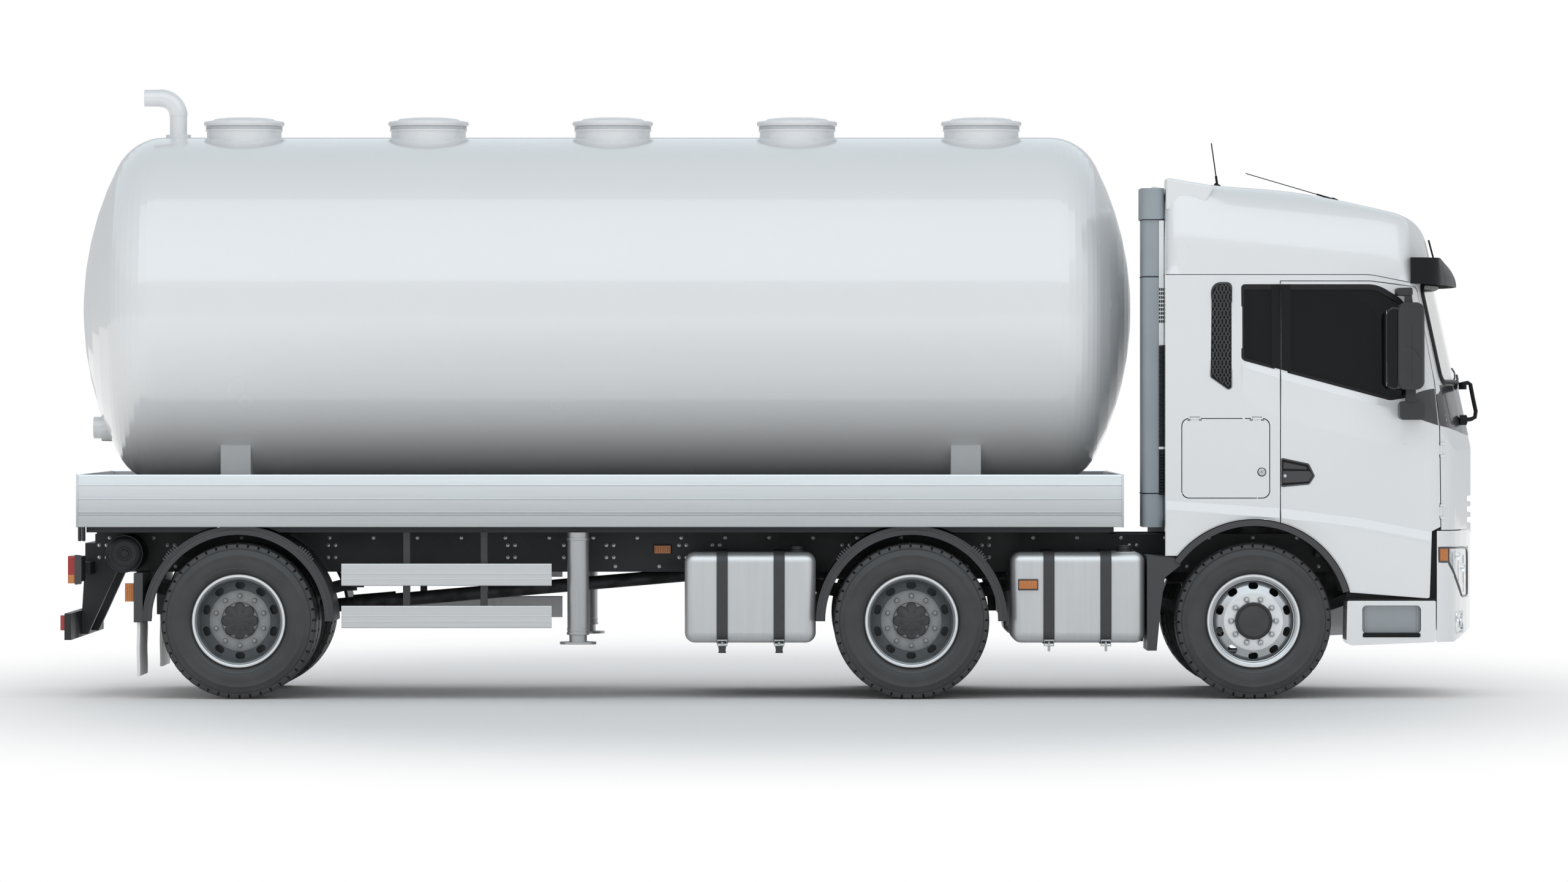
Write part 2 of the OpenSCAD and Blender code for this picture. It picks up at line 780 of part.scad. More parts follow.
// Outline in XZ of the headlamp, seen from the side
module headlamp_pocket(grow) {
    along_y(-1400, -650) offset(delta = grow) polygon([
        [1196, 976], [1210, 988], [1620, 988], [1620, 655], [1368, 655], [1258, 889], [1196, 889]
    ]);
}

module fog_pocket(grow) {
    along_x(1200, 1700) offset(delta = grow) polygon(rounded(frame_rows([-1090, 430], [-900, 556], 20)));
}

module headlamps() {
    color("#cfd6da") truck() both_sides() {
        intersection() {
            bumper_ring(4, 60);
            headlamp_pocket(0);
            block([1000, -1400, 300], [1900, -660, 1100]);
        }
        intersection() {
            bumper_ring(4, 60);
            fog_pocket(0);
        }
    }
}

// Bumper wall between two depths behind its outer face
module bumper_ring(t, depth) {
    difference() {
        translate([0, 0, 372]) linear_extrude(721) difference() {
            polygon(rounded(plan_rows(900, front_overhang, cab_y, t)));
            polygon(rounded(plan_rows(800, front_overhang, cab_y, depth)));
        }
        along_y(-1300, 1300) polygon([[1300, 370], [1600, 370], [1600, 520]]);
        block([700, -1400, 300], [1186, 1400, 1200]);
    }
}

module cab_steps() {
    color("#e9ecee") truck() both_sides() {
        difference() {
            along_y(-cab_y + 6, -880) polygon(rounded([
                [598, 348, 40], [1178, 372, 20], [1178, 640, 10], [604, 640, 10]
            ]));
            along_y(-1400, -930) polygon(rounded(frame_rows([700, 427], [1082, 610], 30)));
            block([640, -1180, 300], [1140, -940, 400]);
        }
        along_y(-cab_y + 2, -1100) polygon(rounded(frame_rows([706, 405], [1076, 429], 8)));
        block([860, -890, 560], [940, -rail_y, 640]);
        block([860, -rail_y - 40, 560], [940, -rail_y, rail_bottom + 60]);
    }
}

module cab_shell() {
    color("#eceff1") truck() difference() {
        union() {
            intersection() {
                cab_skin(0, cab_wall);
                along_y(-1500, 1500) polygon([
                    [-700, 932], [172, 932], [172, 1000], [1100, 1000], [1100, cowl + 150],
                    [1700, cowl + 150], [1700, 3700], [-700, 3700]
                ]);
            }
            intersection() {
                cab_skin(cab_wall + seat_play, cab_wall + 45);
                along_y(-1500, 1500) polygon([[1215, 1150], [1800, 1150], [1800, cowl], [1170, cowl], [1190, 1767]]);
            }
            intersection() {
                cab_skin(0, cab_wall);
                along_y(-1500, 1500) polygon([[1000, cowl], [1800, cowl], [1800, 3000], [900, 3000]]);
            }
            for (part = [[cab_wall - 1, -700, 1000], [cab_wall + 10, 990, 1700]]) intersection() {
                cab_envelope(part[0]);
                block([part[1], -cab_y + cab_wall + panel_gap, cab_floor - floor_plate],
                    [part[2], cab_y - cab_wall - panel_gap, cab_floor]);
            }
        }
        along_y(-1500, 1500) roof_outline();
        both_sides() {
            for (x = locker_hinge_x)
                block([x - 32, -cab_y - 20, locker_hinge_z - 20], [x + 32, -cab_y + 16, locker_hinge_z + 13]);
            along_y(-1400, -1000) offset(delta = panel_gap) door_outline();
            along_y(-1400, -1000) quarter_window();
            along_y(-1400, -1000) polygon(rounded(frame_rows(
                [locker[0] - panel_gap, locker[2] - panel_gap],
                [locker[1] + panel_gap, locker[3] + panel_gap], 49
            )));
            along_y(-1400, -cab_y + 24) side_vent();
        }
        along_x(800, 2000) screen_outline();
        along_y(-1500, 1500) front_outline_cut();
        translate([0, 0, arch_z]) rotate([90, 0, 0]) cylinder(r = arch_r, h = 3000, center = true);
        block([-700, -cab_y + cab_wall - 2, 900], [1900, cab_y - cab_wall + 2, cab_floor - floor_plate]);
        block([-700, -rail_y - 400, 900], [-100, rail_y + 400, 1159]);
    }
    color("#eceff1") truck() both_sides() locker_pins();
}

// What the front panel takes from the shell's outer skin
module front_outline_cut() {
    polygon([[1000, 900], [1215, 900], [1215, 1149], [1000, 1149]]);
}

module side_vent() {
    polygon(rounded([
        [-285, cowl + 47, 20], [-148, cowl - 50, 20], [-148, roof_seam - 52, 30], [-276, roof_seam - 52, 60]
    ]));
}

// Pins on the locker hinge line, standing out of the shell's edge
module locker_pins() {
    for (x = locker_hinge_x) {
        bar([x - 38, -cab_y, locker_hinge_z], [x + 38, -cab_y, locker_hinge_z], hinge_pin - 2);
        for (side = [-1, 1])
            block([x + side * 36 - 4, -cab_y - 4, locker_hinge_z - 4], [x + side * 36 + 4, -cab_y + 30, locker_hinge_z + 12]);
    }
}

module roof_cap() {
    color("#eef1f3") truck() {
        intersection() {
            cab_skin(0, roof_wall);
            along_y(-1500, 1500) translate([0, seat_play]) roof_outline();
        }
        both_sides() difference() {
            along_y(-cab_y + 110, -cab_y + 340) polygon(rounded([
                [-cab_rear + 8, cab_top - 150, 0], [-cab_rear + 200, cab_top - 150, 0],
                [-cab_rear + 330, cab_top - 30, 20], [-cab_rear + 8, cab_top + 24, 20]
            ]));
            cab_envelope(roof_wall / 2);
        }
    }
}

module front_panel() {
    color("#eceff1") truck() {
        difference() {
            intersection() {
                cab_skin(0, cab_wall);
                along_y(-1500, 1500) front_outline();
                block([1000, -1500, 1093 + panel_gap], [2000, 1500, cowl - seat_play]);
            }
            for (z = [1130, 1200, 1270])
                block([1300, -700, z], [1700, 700, z + 44]);
            both_sides() hinge_barrels(door_hinges, 12, 3);
        }
        both_sides() for (z = door_hinges) {
            translate([door_hinge[0], -door_hinge[1], z - 14]) cylinder(r = hinge_pin, h = 88);
            for (end = [z - 16, z + 63]) {
                block([door_hinge[0] - 5, -door_hinge[1] - 6, end], [door_hinge[0] + 2, -door_hinge[1] + 8, end + 13]);
                block([door_hinge[0] + 1, -door_hinge[1] - 6, end], [door_hinge[0] + 28, -door_hinge[1] + 30, end + 13]);
            }
        }
    }
}

module fixed_glass() {
    color("#15191c", 0.6) truck() {
        intersection() {
            cab_skin(glass_inset, glass_inset + glass);
            along_x(800, 2000) offset(delta = -seat_play) screen_outline();
        }
        both_sides() intersection() {
            cab_skin(glass_inset, glass_inset + glass);
            along_y(-1400, -1000) offset(delta = -seat_play) quarter_window();
        }
    }
}

module sun_visor() {
    color("#23272a") truck() difference() {
        intersection() {
            along_y(-1300, 1300) polygon(rounded([
                [1015, 2700, 0], [1440, 2686, 20], [1405, 2810, 60], [1300, 2868, 60], [1015, 2870, 0]
            ]));
            translate([0, 0, 2600]) linear_extrude(400) polygon(rounded(plan_rows(980, 1425, cab_y, 20)));
        }
        intersection() {
            along_y(-1300, 1300) polygon(rounded([
                [1005, 2600, 0], [1428, 2600, 0], [1393, 2804, 60], [1296, 2856, 60], [1005, 2858, 0]
            ]));
            translate([0, 0, 2500]) linear_extrude(500) polygon(rounded(plan_rows(980, 1425, cab_y, 32)));
        }
        cab_envelope(-seat_play);
    }
}

module antennas() {
    // Each row: foot X, foot Z, tip X, tip Z, thickness
    rows = [[-190, cab_top - 34, -228, 3640, 4], [590, 3258, 0, 3440, 3], [1060, 3046, 1108, 3180, 4]];
    color("#1c1d1f") truck() for (row = rows) difference() {
        translate([0, -300, 0]) {
            bar([row[0], 0, row[1]], [row[2], 0, row[3]], row[4]);
            translate([row[0], 0, row[1] - 30]) cylinder(r1 = 45, r2 = 8, h = 60);
        }
        cab_envelope(-seat_play);
    }
}

module air_intake() {
    color("#8d979d") truck() {
        translate([0, 0, 1115]) linear_extrude(2010)
            polygon(rounded(frame_rows([-cab_rear - 140, -1080], [-cab_rear - seat_play, -660], 45)));
        translate([0, 0, 3120]) linear_extrude(202)
            polygon(rounded(frame_rows([-cab_rear - 150, -1100], [-cab_rear - seat_play, -640], 50)));
    }
}

module seats() {
    color("#2f3236") truck() for (y = [-560, 560]) translate([0, y, 0]) {
        block([150, -180, cab_floor], [560, 180, 1520]);
        along_y(-250, 250) polygon(rounded([
            [90, 1520, 40], [640, 1520, 50], [660, 1650, 50], [240, 1640, 40],
            [60, 2260, 60], [-70, 2250, 60], [20, 1600, 60]
        ]));
    }
}

module dashboard() {
    color("#2a2c2f") truck() {
        intersection() {
            cab_envelope(cab_wall + 45 + seat_play);
            along_y(-1130, 1130) polygon(rounded([
                [1160, cab_floor, 0], [1600, cab_floor, 0], [1600, cowl - 20, 0],
                [1120, cowl - 40, 60], [980, cowl - 166, 80], [1080, cowl - 486, 60]
            ]));
        }
        translate([870, 560, cowl - 111]) rotate([0, -35, 0]) {
            rotate_extrude() translate([215, 0]) circle(15);
            cylinder(r = 50, h = 30, center = true);
            for (a = [0, 120, 240]) rotate(a) bar([0, 0, 0], [215, 0, 0], 12);
            bar([0, 0, 0], [0, 0, -300], 26);
        }
    }
}

// Recess of the door handle, drawn in by t
module handle_outline(t) {
    polygon(rounded([
        [178 + t, 1386 + t, 6], [352 - t, 1402 + t, 12], [384 - 1.4 * t, 1451, 12], [348 - t, 1524 - t, 12],
        [178 + t, 1560 - t, 6]
    ]));
}

module door_right() {
    color("#eceff1") truck() {
        along_y(-cab_y + 4, -cab_y + 20) intersection() {
            handle_outline(4);
            translate([150, 1432]) square([250, 36]);
        }
        difference() {
            intersection() {
                cab_skin(0, cab_wall);
                along_y(-1400, -1000) difference() {
                    door_outline();
                    translate([0, arch_z]) circle(arch_r);
                    door_window();
                }
            }
            hinge_barrels(door_hinges, 12, 22);
            along_y(-1400, -cab_y + 18) handle_outline(0);
        }
        for (z = door_hinges) difference() {
            union() {
                translate([door_hinge[0], -door_hinge[1], z + 1]) cylinder(r = hinge_pin + 4, h = 58);
                block([door_hinge[0] - 40, -door_hinge[1] - 2, z + 1], [door_hinge[0], -door_hinge[1] + 7, z + 59]);
            }
            hinge_barrels(door_hinges, hinge_pin + pin_play, 5);
        }
    }
}

module door_left() {
    mirror([0, 1, 0]) door_right();
}

module door_glass_right() {
    color("#15191c", 0.6) truck() intersection() {
        cab_skin(glass_inset, glass_inset + glass);
        along_y(-1400, -1000) offset(delta = -seat_play) door_window();
    }
}

module door_glass_left() {
    mirror([0, 1, 0]) door_glass_right();
}

module mirror_right() {
    color("#1f2123") truck() difference() {
        mirror_body();
        cab_envelope(-seat_play);
    }
}

module mirror_body() {
    union() {
        intersection() {
            along_y(-1560, -1300) polygon(rounded(frame_rows([911, 2010], [1086, 2574], 60)));
            translate([0, 0, 1900]) linear_extrude(800) polygon(rounded([
                [905, -1545, 20], [950, -1550, 40], [1086, -1500, 50], [1086, -1335, 50], [905, -1315, 20]
            ]));
        }
        intersection() {
            along_y(-1540, -1320) polygon(rounded(frame_rows([838, 2016], [960, 2540], 45)));
            translate([0, 0, 1900]) linear_extrude(800)
                polygon(rounded(frame_rows([838, -1528], [960, -1338], 22)));
        }
        bar([990, -1400, 2560], [990, -1400, 2640], 18);
        bar([990, -1400, 2625], [990, -cab_y + 40, 2625], 18);
        along_y(-1420, -cab_y + 20) polygon(rounded(frame_rows([930, 1815], [1090, 1935], 30)));
        bar([1005, -1400, 1925], [1005, -1400, 2030], 22);
    }
}

module mirror_left() {
    mirror([0, 1, 0]) mirror_right();
}

module locker_right() {
    color("#e6e9eb") truck() {
        difference() {
            intersection() {
                cab_skin(0, cab_wall);
                along_y(-1400, -1000) polygon(rounded(frame_rows([locker[0], locker[2]], [locker[1], locker[3]], 45)));
            }
            for (x = locker_hinge_x)
                block([x - 46, -cab_y - 10, locker[3] - 12], [x + 46, -cab_y + 36, locker[3] + 10]);
        }
        translate([48, -cab_y + 10, 1476]) rotate([90, 0, 0]) cylinder(r = 21, h = 16);
        for (x = locker_hinge_x) difference() {
            union() {
                bar([x - 28, -cab_y, locker_hinge_z], [x + 28, -cab_y, locker_hinge_z], hinge_pin + 2);
                block([x - 28, -cab_y + 1, locker[3] - 30], [x + 28, -cab_y + 7, locker_hinge_z]);
            }
            bar([x - 60, -cab_y, locker_hinge_z], [x + 60, -cab_y, locker_hinge_z], hinge_pin - 2 + pin_play);
        }
    }
}

module locker_left() {
    mirror([0, 1, 0]) locker_right();
}

module manhole_lid(x) {
    color("#e3e6e8") truck() translate([x, 0, neck_top + seat_play]) {
        rotate_extrude() polygon(rounded([
            [0, 0, 0], [lid_r, 0, 3], [lid_r, 30, 6], [lid_r - 40, 36, 30], [0, 56, 0]
        ]));
        difference() {
            union() {
                bar([-30, lid_hinge_y, 14 - seat_play], [30, lid_hinge_y, 14 - seat_play], hinge_pin + 8);
                block([-30, lid_r - 30, 4], [30, lid_hinge_y, 14 - seat_play + hinge_pin + 6]);
            }
            bar([-60, lid_hinge_y, 14 - seat_play], [60, lid_hinge_y, 14 - seat_play], hinge_pin + 3 + pin_play);
        }
    }
}

module manhole_lid_1() {
    manhole_lid(manhole_x[0]);
}

module manhole_lid_2() {
    manhole_lid(manhole_x[1]);
}

module manhole_lid_3() {
    manhole_lid(manhole_x[2]);
}

module manhole_lid_4() {
    manhole_lid(manhole_x[3]);
}

module manhole_lid_5() {
    manhole_lid(manhole_x[4]);
}

module knuckle_right() {
    color("#3a3c40") truck() translate([0, -kingpin_y, 0]) difference() {
        union() {
            for (z = [393, 578]) {
                translate([0, 0, z]) cylinder(r = 46, h = 43);
                block([-45, -84, z], [45, 0, z + 43]);
            }
            block([-50, -84, 393], [50, -58, 621]);
            translate([0, -80, hub]) rotate([90, 0, 0]) cylinder(r = front_spindle_r, h = kingpin_offset + 5);
            block([-steering_arm, -18, 397], [0, 18, 427]);
            translate([-steering_arm, 0, 397]) cylinder(r = 26, h = 30);
            translate([-steering_arm, 0, 352]) cylinder(r = 12, h = 50);
        }
        translate([0, 0, 380]) cylinder(r = kingpin_r + pin_play, h = 260);
    }
}

module knuckle_left() {
    mirror([0, 1, 0]) knuckle_right();
}

module tie_rod() {
    color("#46494d") truck() difference() {
        union() {
            bar([-steering_arm, -kingpin_y, 376], [-steering_arm, kingpin_y, 376], 15);
            both_sides() translate([-steering_arm, -kingpin_y, 359]) cylinder(r = 27, h = 34);
        }
        both_sides() translate([-steering_arm, -kingpin_y, 340]) cylinder(r = 12 + pin_play, h = 70);
    }
}

// Section of a tyre: [radius, distance along the axle, corner radius]
module tyre_section() {
    r = tyre_d / 2;
    w = tyre_width / 2;
    half = [
        [seat_r + seat_play, rim_width / 2 - seat_play - 32, 0],
        [seat_r + seat_play, rim_width / 2 - seat_play, 0],
        [lip_r + 4, rim_width / 2 - seat_play, 0],
        [seat_r + 70, w - 6, 30],
        [r - 115, w, 110],
        [r - 11, w - 20, 14],
        [r, w - 86, 0]
    ];
    inside = [[r - 36, w - 70, 30], [r - 110, w - 32, 60], [seat_r + 60, w - 40, 30]];
    difference() {
        polygon(rounded(concat(
            half,
            [for (i = [6:-1:0]) [half[i][0], -half[i][1], half[i][2]]],
            [for (i = [2:-1:0]) [inside[i][0], -inside[i][1], inside[i][2]]],
            inside
        )));
        for (h = [-84, -28, 28, 84])
            translate([r - 14, h - 6]) square([30, 12]);
    }
}

module axle_turned(y) {
    translate([0, y, hub]) rotate([90, 0, 0]) children();
}

module tyre(x, offsets) {
    color("#2b2c2e") truck() translate([x, 0, 0])
        for (y = offsets) axle_turned(y) rotate_extrude() tyre_section();
}

// Ring of the rim with both flanges, centred on the wheel
module rim_ring() {
    w = rim_width / 2;
    polygon([
        [seat_r - 24, -w + 60], [seat_r - 14, -w - 6], [seat_r - 4, -w - 12], [lip_r, -w - 12], [lip_r, -w],
        [seat_r, -w], [seat_r, w], [lip_r, w], [lip_r, w + 12], [seat_r - 4, w + 12],
        [seat_r - 14, w + 6], [seat_r - 24, w - 60]
    ]);
}

module hand_hole_cuts(r, a, b) {
    for (k = [0:hand_holes - 1]) rotate(k * 360 / hand_holes)
        translate([0, 0, a]) linear_extrude(b - a)
            translate([0, r]) polygon(rounded(frame_rows([-32, -22], [32, 22], 21)));
}

module front_rim() {
    color("#c9cdd0") truck() axle_turned(-front_wheel_y) difference() {
        union() {
            rotate_extrude() {
                rim_ring();
                polygon(rounded([
                    [seat_r - 18, 20, 0], [seat_r - 18, 46, 0], [seat_r - 50, 98, 30], [190, 112, 0],
                    [117, 112, 0], [117, 92, 0], [182, 92, 0], [seat_r - 66, 78, 20]
                ]));
                translate([front_spindle_r + pin_play, 2]) square([118 - front_spindle_r, 110]);
                polygon(rounded([[0, 100, 0], [117, 100, 0], [117, 146, 14], [0, 150, 0]]));
            }
        }
        hand_hole_cuts(228, 40, 140);
    }
}

module twin_rim(x) {
    color("#8f9498") truck() translate([x, 0, 0]) axle_turned(-twin_y) difference() {
        rotate_extrude() {
            rim_ring();
            translate([0, -twin_spacing]) rim_ring();
            polygon([[seat_r - 20, -70], [seat_r - 20, -48], [199, -26], [120, -26], [120, -48], [199, -50]]);
            translate([rear_spindle_r + pin_play, -twin_spacing + 10]) square([100 - rear_spindle_r, twin_spacing - 24]);
            translate([90, -40]) square([109, 26]);
            translate([175, -twin_spacing + 10]) square([24, twin_spacing - 34]);
            translate([190, -twin_spacing + 60]) square([seat_r - 208, 20]);
            polygon(rounded([[0, -20, 0], [120, -20, 0], [120, 16, 12], [0, 20, 0]]));
        }
        hand_hole_cuts(229, -90, 0);
    }
}

module tyre_front_right() {
    tyre(0, [-front_wheel_y]);
}

module tyre_front_left() {
    tyre(0, [front_wheel_y]);
}

module tyre_mid_right() {
    tyre(mid_x, [-twin_y, -twin_y + twin_spacing]);
}

module tyre_mid_left() {
    tyre(mid_x, [twin_y, twin_y - twin_spacing]);
}

module tyre_rear_right() {
    tyre(rear_x, [-twin_y, -twin_y + twin_spacing]);
}

module tyre_rear_left() {
    tyre(rear_x, [twin_y, twin_y - twin_spacing]);
}

module rim_front_right() {
    front_rim();
}

module rim_front_left() {
    mirror([0, 1, 0]) front_rim();
}

module rim_mid_right() {
    twin_rim(mid_x);
}

module rim_mid_left() {
    mirror([0, 1, 0]) twin_rim(mid_x);
}

module rim_rear_right() {
    twin_rim(rear_x);
}

module rim_rear_left() {
    mirror([0, 1, 0]) twin_rim(rear_x);
}

frame();
axles();
leaf_springs();
prop_shaft();
engine();
bed_deck();
sideboards();
tank_shell();
tank_cradles();
mudguards();
red_lamps();
underrun_bar();
amber_lamps();
air_reservoirs();
fuel_tanks();
tank_straps();
side_guards();
leg_tubes();
bumper();
cab_steps();
headlamps();
cab_shell();
roof_cap();
front_panel();
fixed_glass();
sun_visor();
antennas();
air_intake();
seats();
dashboard();
door_right();
door_left();
door_glass_right();
door_glass_left();
mirror_right();
mirror_left();
locker_right();
locker_left();
manhole_lid_1();
manhole_lid_2();
manhole_lid_3();
manhole_lid_4();
manhole_lid_5();
leg_right();
leg_left();
knuckle_right();
knuckle_left();
tie_rod();
tyre_front_right();
tyre_front_left();
tyre_mid_right();
tyre_mid_left();
tyre_rear_right();
tyre_rear_left();
rim_front_right();
rim_front_left();
rim_mid_right();
rim_mid_left();
rim_rear_right();
rim_rear_left();
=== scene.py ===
"""Three-axle rigid tanker truck with a tall cab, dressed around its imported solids. X is forward and Z up."""
import math

import bmesh
import bpy
from mathutils import Matrix, Vector
from mathutils.bvhtree import BVHTree


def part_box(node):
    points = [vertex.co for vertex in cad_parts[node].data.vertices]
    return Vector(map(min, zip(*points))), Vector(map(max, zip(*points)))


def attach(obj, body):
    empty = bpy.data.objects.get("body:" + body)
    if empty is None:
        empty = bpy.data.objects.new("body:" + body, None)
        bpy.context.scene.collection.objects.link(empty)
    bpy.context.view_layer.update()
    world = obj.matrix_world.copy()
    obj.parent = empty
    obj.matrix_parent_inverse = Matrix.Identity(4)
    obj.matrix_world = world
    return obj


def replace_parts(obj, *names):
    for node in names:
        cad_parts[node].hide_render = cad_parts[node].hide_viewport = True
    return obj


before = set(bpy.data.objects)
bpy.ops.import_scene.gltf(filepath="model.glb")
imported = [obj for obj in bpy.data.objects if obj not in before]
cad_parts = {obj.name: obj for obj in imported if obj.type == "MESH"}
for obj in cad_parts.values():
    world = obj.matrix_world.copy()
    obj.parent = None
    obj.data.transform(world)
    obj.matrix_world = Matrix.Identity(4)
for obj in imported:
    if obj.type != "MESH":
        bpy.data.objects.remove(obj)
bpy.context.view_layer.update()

# Studio: a white sweep under a broad overhead light box, seen by a long lens that stands square to the
# truck's right side some fifty metres off, a little higher than the bed.
scene = bpy.context.scene
scene.view_settings.view_transform = "Standard"
lens = bpy.data.cameras.new("long_lens")
lens.sensor_fit = "HORIZONTAL"
lens.angle = math.radians(11.62)
lens.clip_end = 500
camera = bpy.data.objects.new("camera", lens)
camera.location = (0.075, -51.24, 1.974)
camera.rotation_euler = (math.radians(89.66), 0, 0)
scene.collection.objects.link(camera)
scene.camera = camera


class Wire:
    """One socket of a node tree. Arithmetic on it adds Math nodes, and node() adds any other kind."""

    def __init__(self, socket):
        self.socket = socket

    def node(self, kind, settings, sockets, out=0):
        tree = self.socket.id_data
        made = tree.nodes.new("ShaderNode" + kind)
        for key, value in settings.items():
            setattr(made, key, value)
        for key, value in sockets.items():
            if isinstance(value, Wire):
                tree.links.new(value.socket, made.inputs[key])
            else:
                made.inputs[key].default_value = value
        return Wire(made.outputs[out])

    def maths(self, operation, a, b=0.0):
        return self.node("Math", {"operation": operation}, {0: a, 1: b})

    def __add__(self, other):
        return self.maths("ADD", self, other)

    __radd__ = __add__

    def __sub__(self, other):
        return self.maths("SUBTRACT", self, other)

    def __rsub__(self, other):
        return self.maths("SUBTRACT", other, self)

    def __mul__(self, other):
        return self.maths("MULTIPLY", self, other)

    __rmul__ = __mul__

    def axis(self, name):
        return self.node("SeparateXYZ", {}, {0: self}, name)

    def step(self, low, high, start=0.0, end=1.0):
        return self.node("MapRange", {"interpolation_type": "SMOOTHSTEP"},
                         {"Value": self, "From Min": low, "From Max": high, "To Min": start, "To Max": end})

    def between(self, a, b):
        """Colour a where the value is 0 and colour b where it is 1."""
        a, b = (c if isinstance(c, Wire) else (*c, 1) for c in (a, b))
        return self.node("Mix", {"data_type": "RGBA"}, {0: self, 6: a, 7: b}, 2)

    def noise(self, scale, detail=3.0, stretch=(1, 1, 1)):
        placed = self.node("Mapping", {}, {"Vector": self, "Scale": stretch})
        return self.node("TexNoise", {}, {"Vector": placed, "Scale": scale, "Detail": detail})

    def bump(self, depth, strength=1.0):
        return self.node("Bump", {}, {"Height": self, "Distance": depth, "Strength": strength})


white, tent_wall, tent_foot, tent_top = (1, 1, 1), (0.33, 0.335, 0.345), (0.60, 0.62, 0.64), (0.84, 0.94, 1.0)
sky = bpy.data.worlds.new("light_tent")
sky.use_nodes = True
scene.world = sky
backdrop = sky.node_tree.nodes["Background"]
ray = Wire(backdrop.outputs[0])
from_lens, from_gloss, from_glass = (
    ray.node("LightPath", {}, {}, f"Is {kind} Ray") for kind in ("Camera", "Glossy", "Transmission"))
height = ray.node("TexCoord", {}, {}, "Generated").axis("Z")
mirrored = height.step(0.24, 0.32).between(tent_foot, tent_top)
shown = ray.maths("MINIMUM", from_gloss + from_glass, 1.0).between(tent_wall, mirrored)
sky.node_tree.links.new(from_lens.between(shown, white).socket, backdrop.inputs["Color"])

# Each row: name, place, size, power, colour, the point it faces
light_boxes = (
    ("front_box", (0.3, -10.0, 13.2), (26, 16), 1040, (0.90, 0.97, 1.0), (0.3, 0.0, 2.0)),
    ("fill_box", (0.3, -24.0, 3.0), (30, 6), 1180, white, (0.3, 0.0, 2.0)),
    ("back_box", (0.3, 14.0, 9.0), (18, 8), 900, white, (0.3, 0.0, 1.0)),
)
for name, place, size, power, tint, target in light_boxes:
    light = bpy.data.lights.new(name, "AREA")
    light.shape = "RECTANGLE"
    light.size, light.size_y = size
    light.energy = power
    light.color = tint
    lamp = bpy.data.objects.new(name, light)
    lamp.location = place
    lamp.rotation_euler = (Vector(target) - Vector(place)).to_track_quat("-Z", "Y").to_euler()
    scene.collection.objects.link(lamp)
    lamp.visible_glossy = name == "front_box"

sweep = bpy.data.meshes.new("floor")
sweep.from_pydata([(-60, -45, 0), (60, -45, 0), (60, 60, 0), (-60, 60, 0)], [], [(0, 1, 2, 3)])
floor = bpy.data.objects.new("floor", sweep)
scene.collection.objects.link(floor)
pale_floor = bpy.data.materials.new("pale_floor")
pale_floor.use_nodes = True
ground = pale_floor.node_tree.nodes["Principled BSDF"]
ground.inputs["Base Color"].default_value = (0.95, 0.95, 0.95, 1)
ground.inputs["Roughness"].default_value = 0.9
spot = Wire(ground.outputs[0]).node("TexCoord", {}, {}, "Object")
oval = spot.node("Mapping", {}, {"Vector": spot, "Scale": (1.9, 1.0, 1.0)})
away = spot.node("VectorMath", {"operation": "LENGTH"}, {0: oval}, "Value")
glow = spot.node("Emission", {}, {"Color": (*white, 1), "Strength": 1.0})
faded = spot.node("MixShader", {}, {0: away.step(6.0, 13.5), 1: Wire(ground.outputs[0]), 2: glow})
pale_floor.node_tree.links.new(faded.socket, pale_floor.node_tree.nodes["Material Output"].inputs["Surface"])
sweep.materials.append(pale_floor)

# Ladder frame: two pressed steel channels with cross members under satin black chassis paint, joined by
# zinc plated bolts. The bed floor, underrun bar and air reservoirs carry the same paint.


def start(name, **sockets):
    """A new material with its plain sockets set, and the surface's own coordinates in metres."""
    material = bpy.data.materials.new(name)
    material.use_nodes = True
    shader = material.node_tree.nodes["Principled BSDF"]
    for key, value in sockets.items():
        shader.inputs[key.replace("_", " ")].default_value = value
    return material, Wire(shader.outputs[0]).node("TexCoord", {}, {}, "Object")


def shade(material, **wires):
    """Links wires to the sockets of a material's shader."""
    shader = material.node_tree.nodes["Principled BSDF"]
    for key, wire in wires.items():
        material.node_tree.links.new(wire.socket, shader.inputs[key.replace("_", " ")])


def finish(name, grain, dark, pale, rough=None, cloud=None, **sockets):
    """A material whose colour runs from dark to pale over a noise, the grain. rough is the swing and the
    least of its roughness, over the same noise or over one with the scale cloud."""
    material, spot = start(name, **sockets)
    tone = spot.noise(*grain)
    shade(material, Base_Color=tone.between(dark, pale))
    if rough:
        patches = spot.noise(cloud) if cloud else tone
        shade(material, Roughness=patches * rough[0] + rough[1])
    return material


def dress(material, *nodes):
    """Gives solids of the frame a material."""
    for node in nodes:
        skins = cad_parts[node].data.materials
        skins.clear()
        skins.append(material)


front_axle = sum(corner[0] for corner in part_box("rim_front_right")) / 2
sides = {"right": -1, "left": 1}


def at(x, y, z):
    """A point given in millimetres ahead of the front axle, left of the middle and above the ground."""
    return Vector((front_axle + x / 1000, y / 1000, z / 1000))


class Form:
    """Points and faces of a piece in the making."""

    def __init__(self, points=(), faces=()):
        self.points = list(points)
        self.faces = list(faces)

    def add(self, points, faces):
        first = len(self.points)
        self.points.extend(points)
        self.faces.extend(tuple(first + i for i in face) for face in faces)


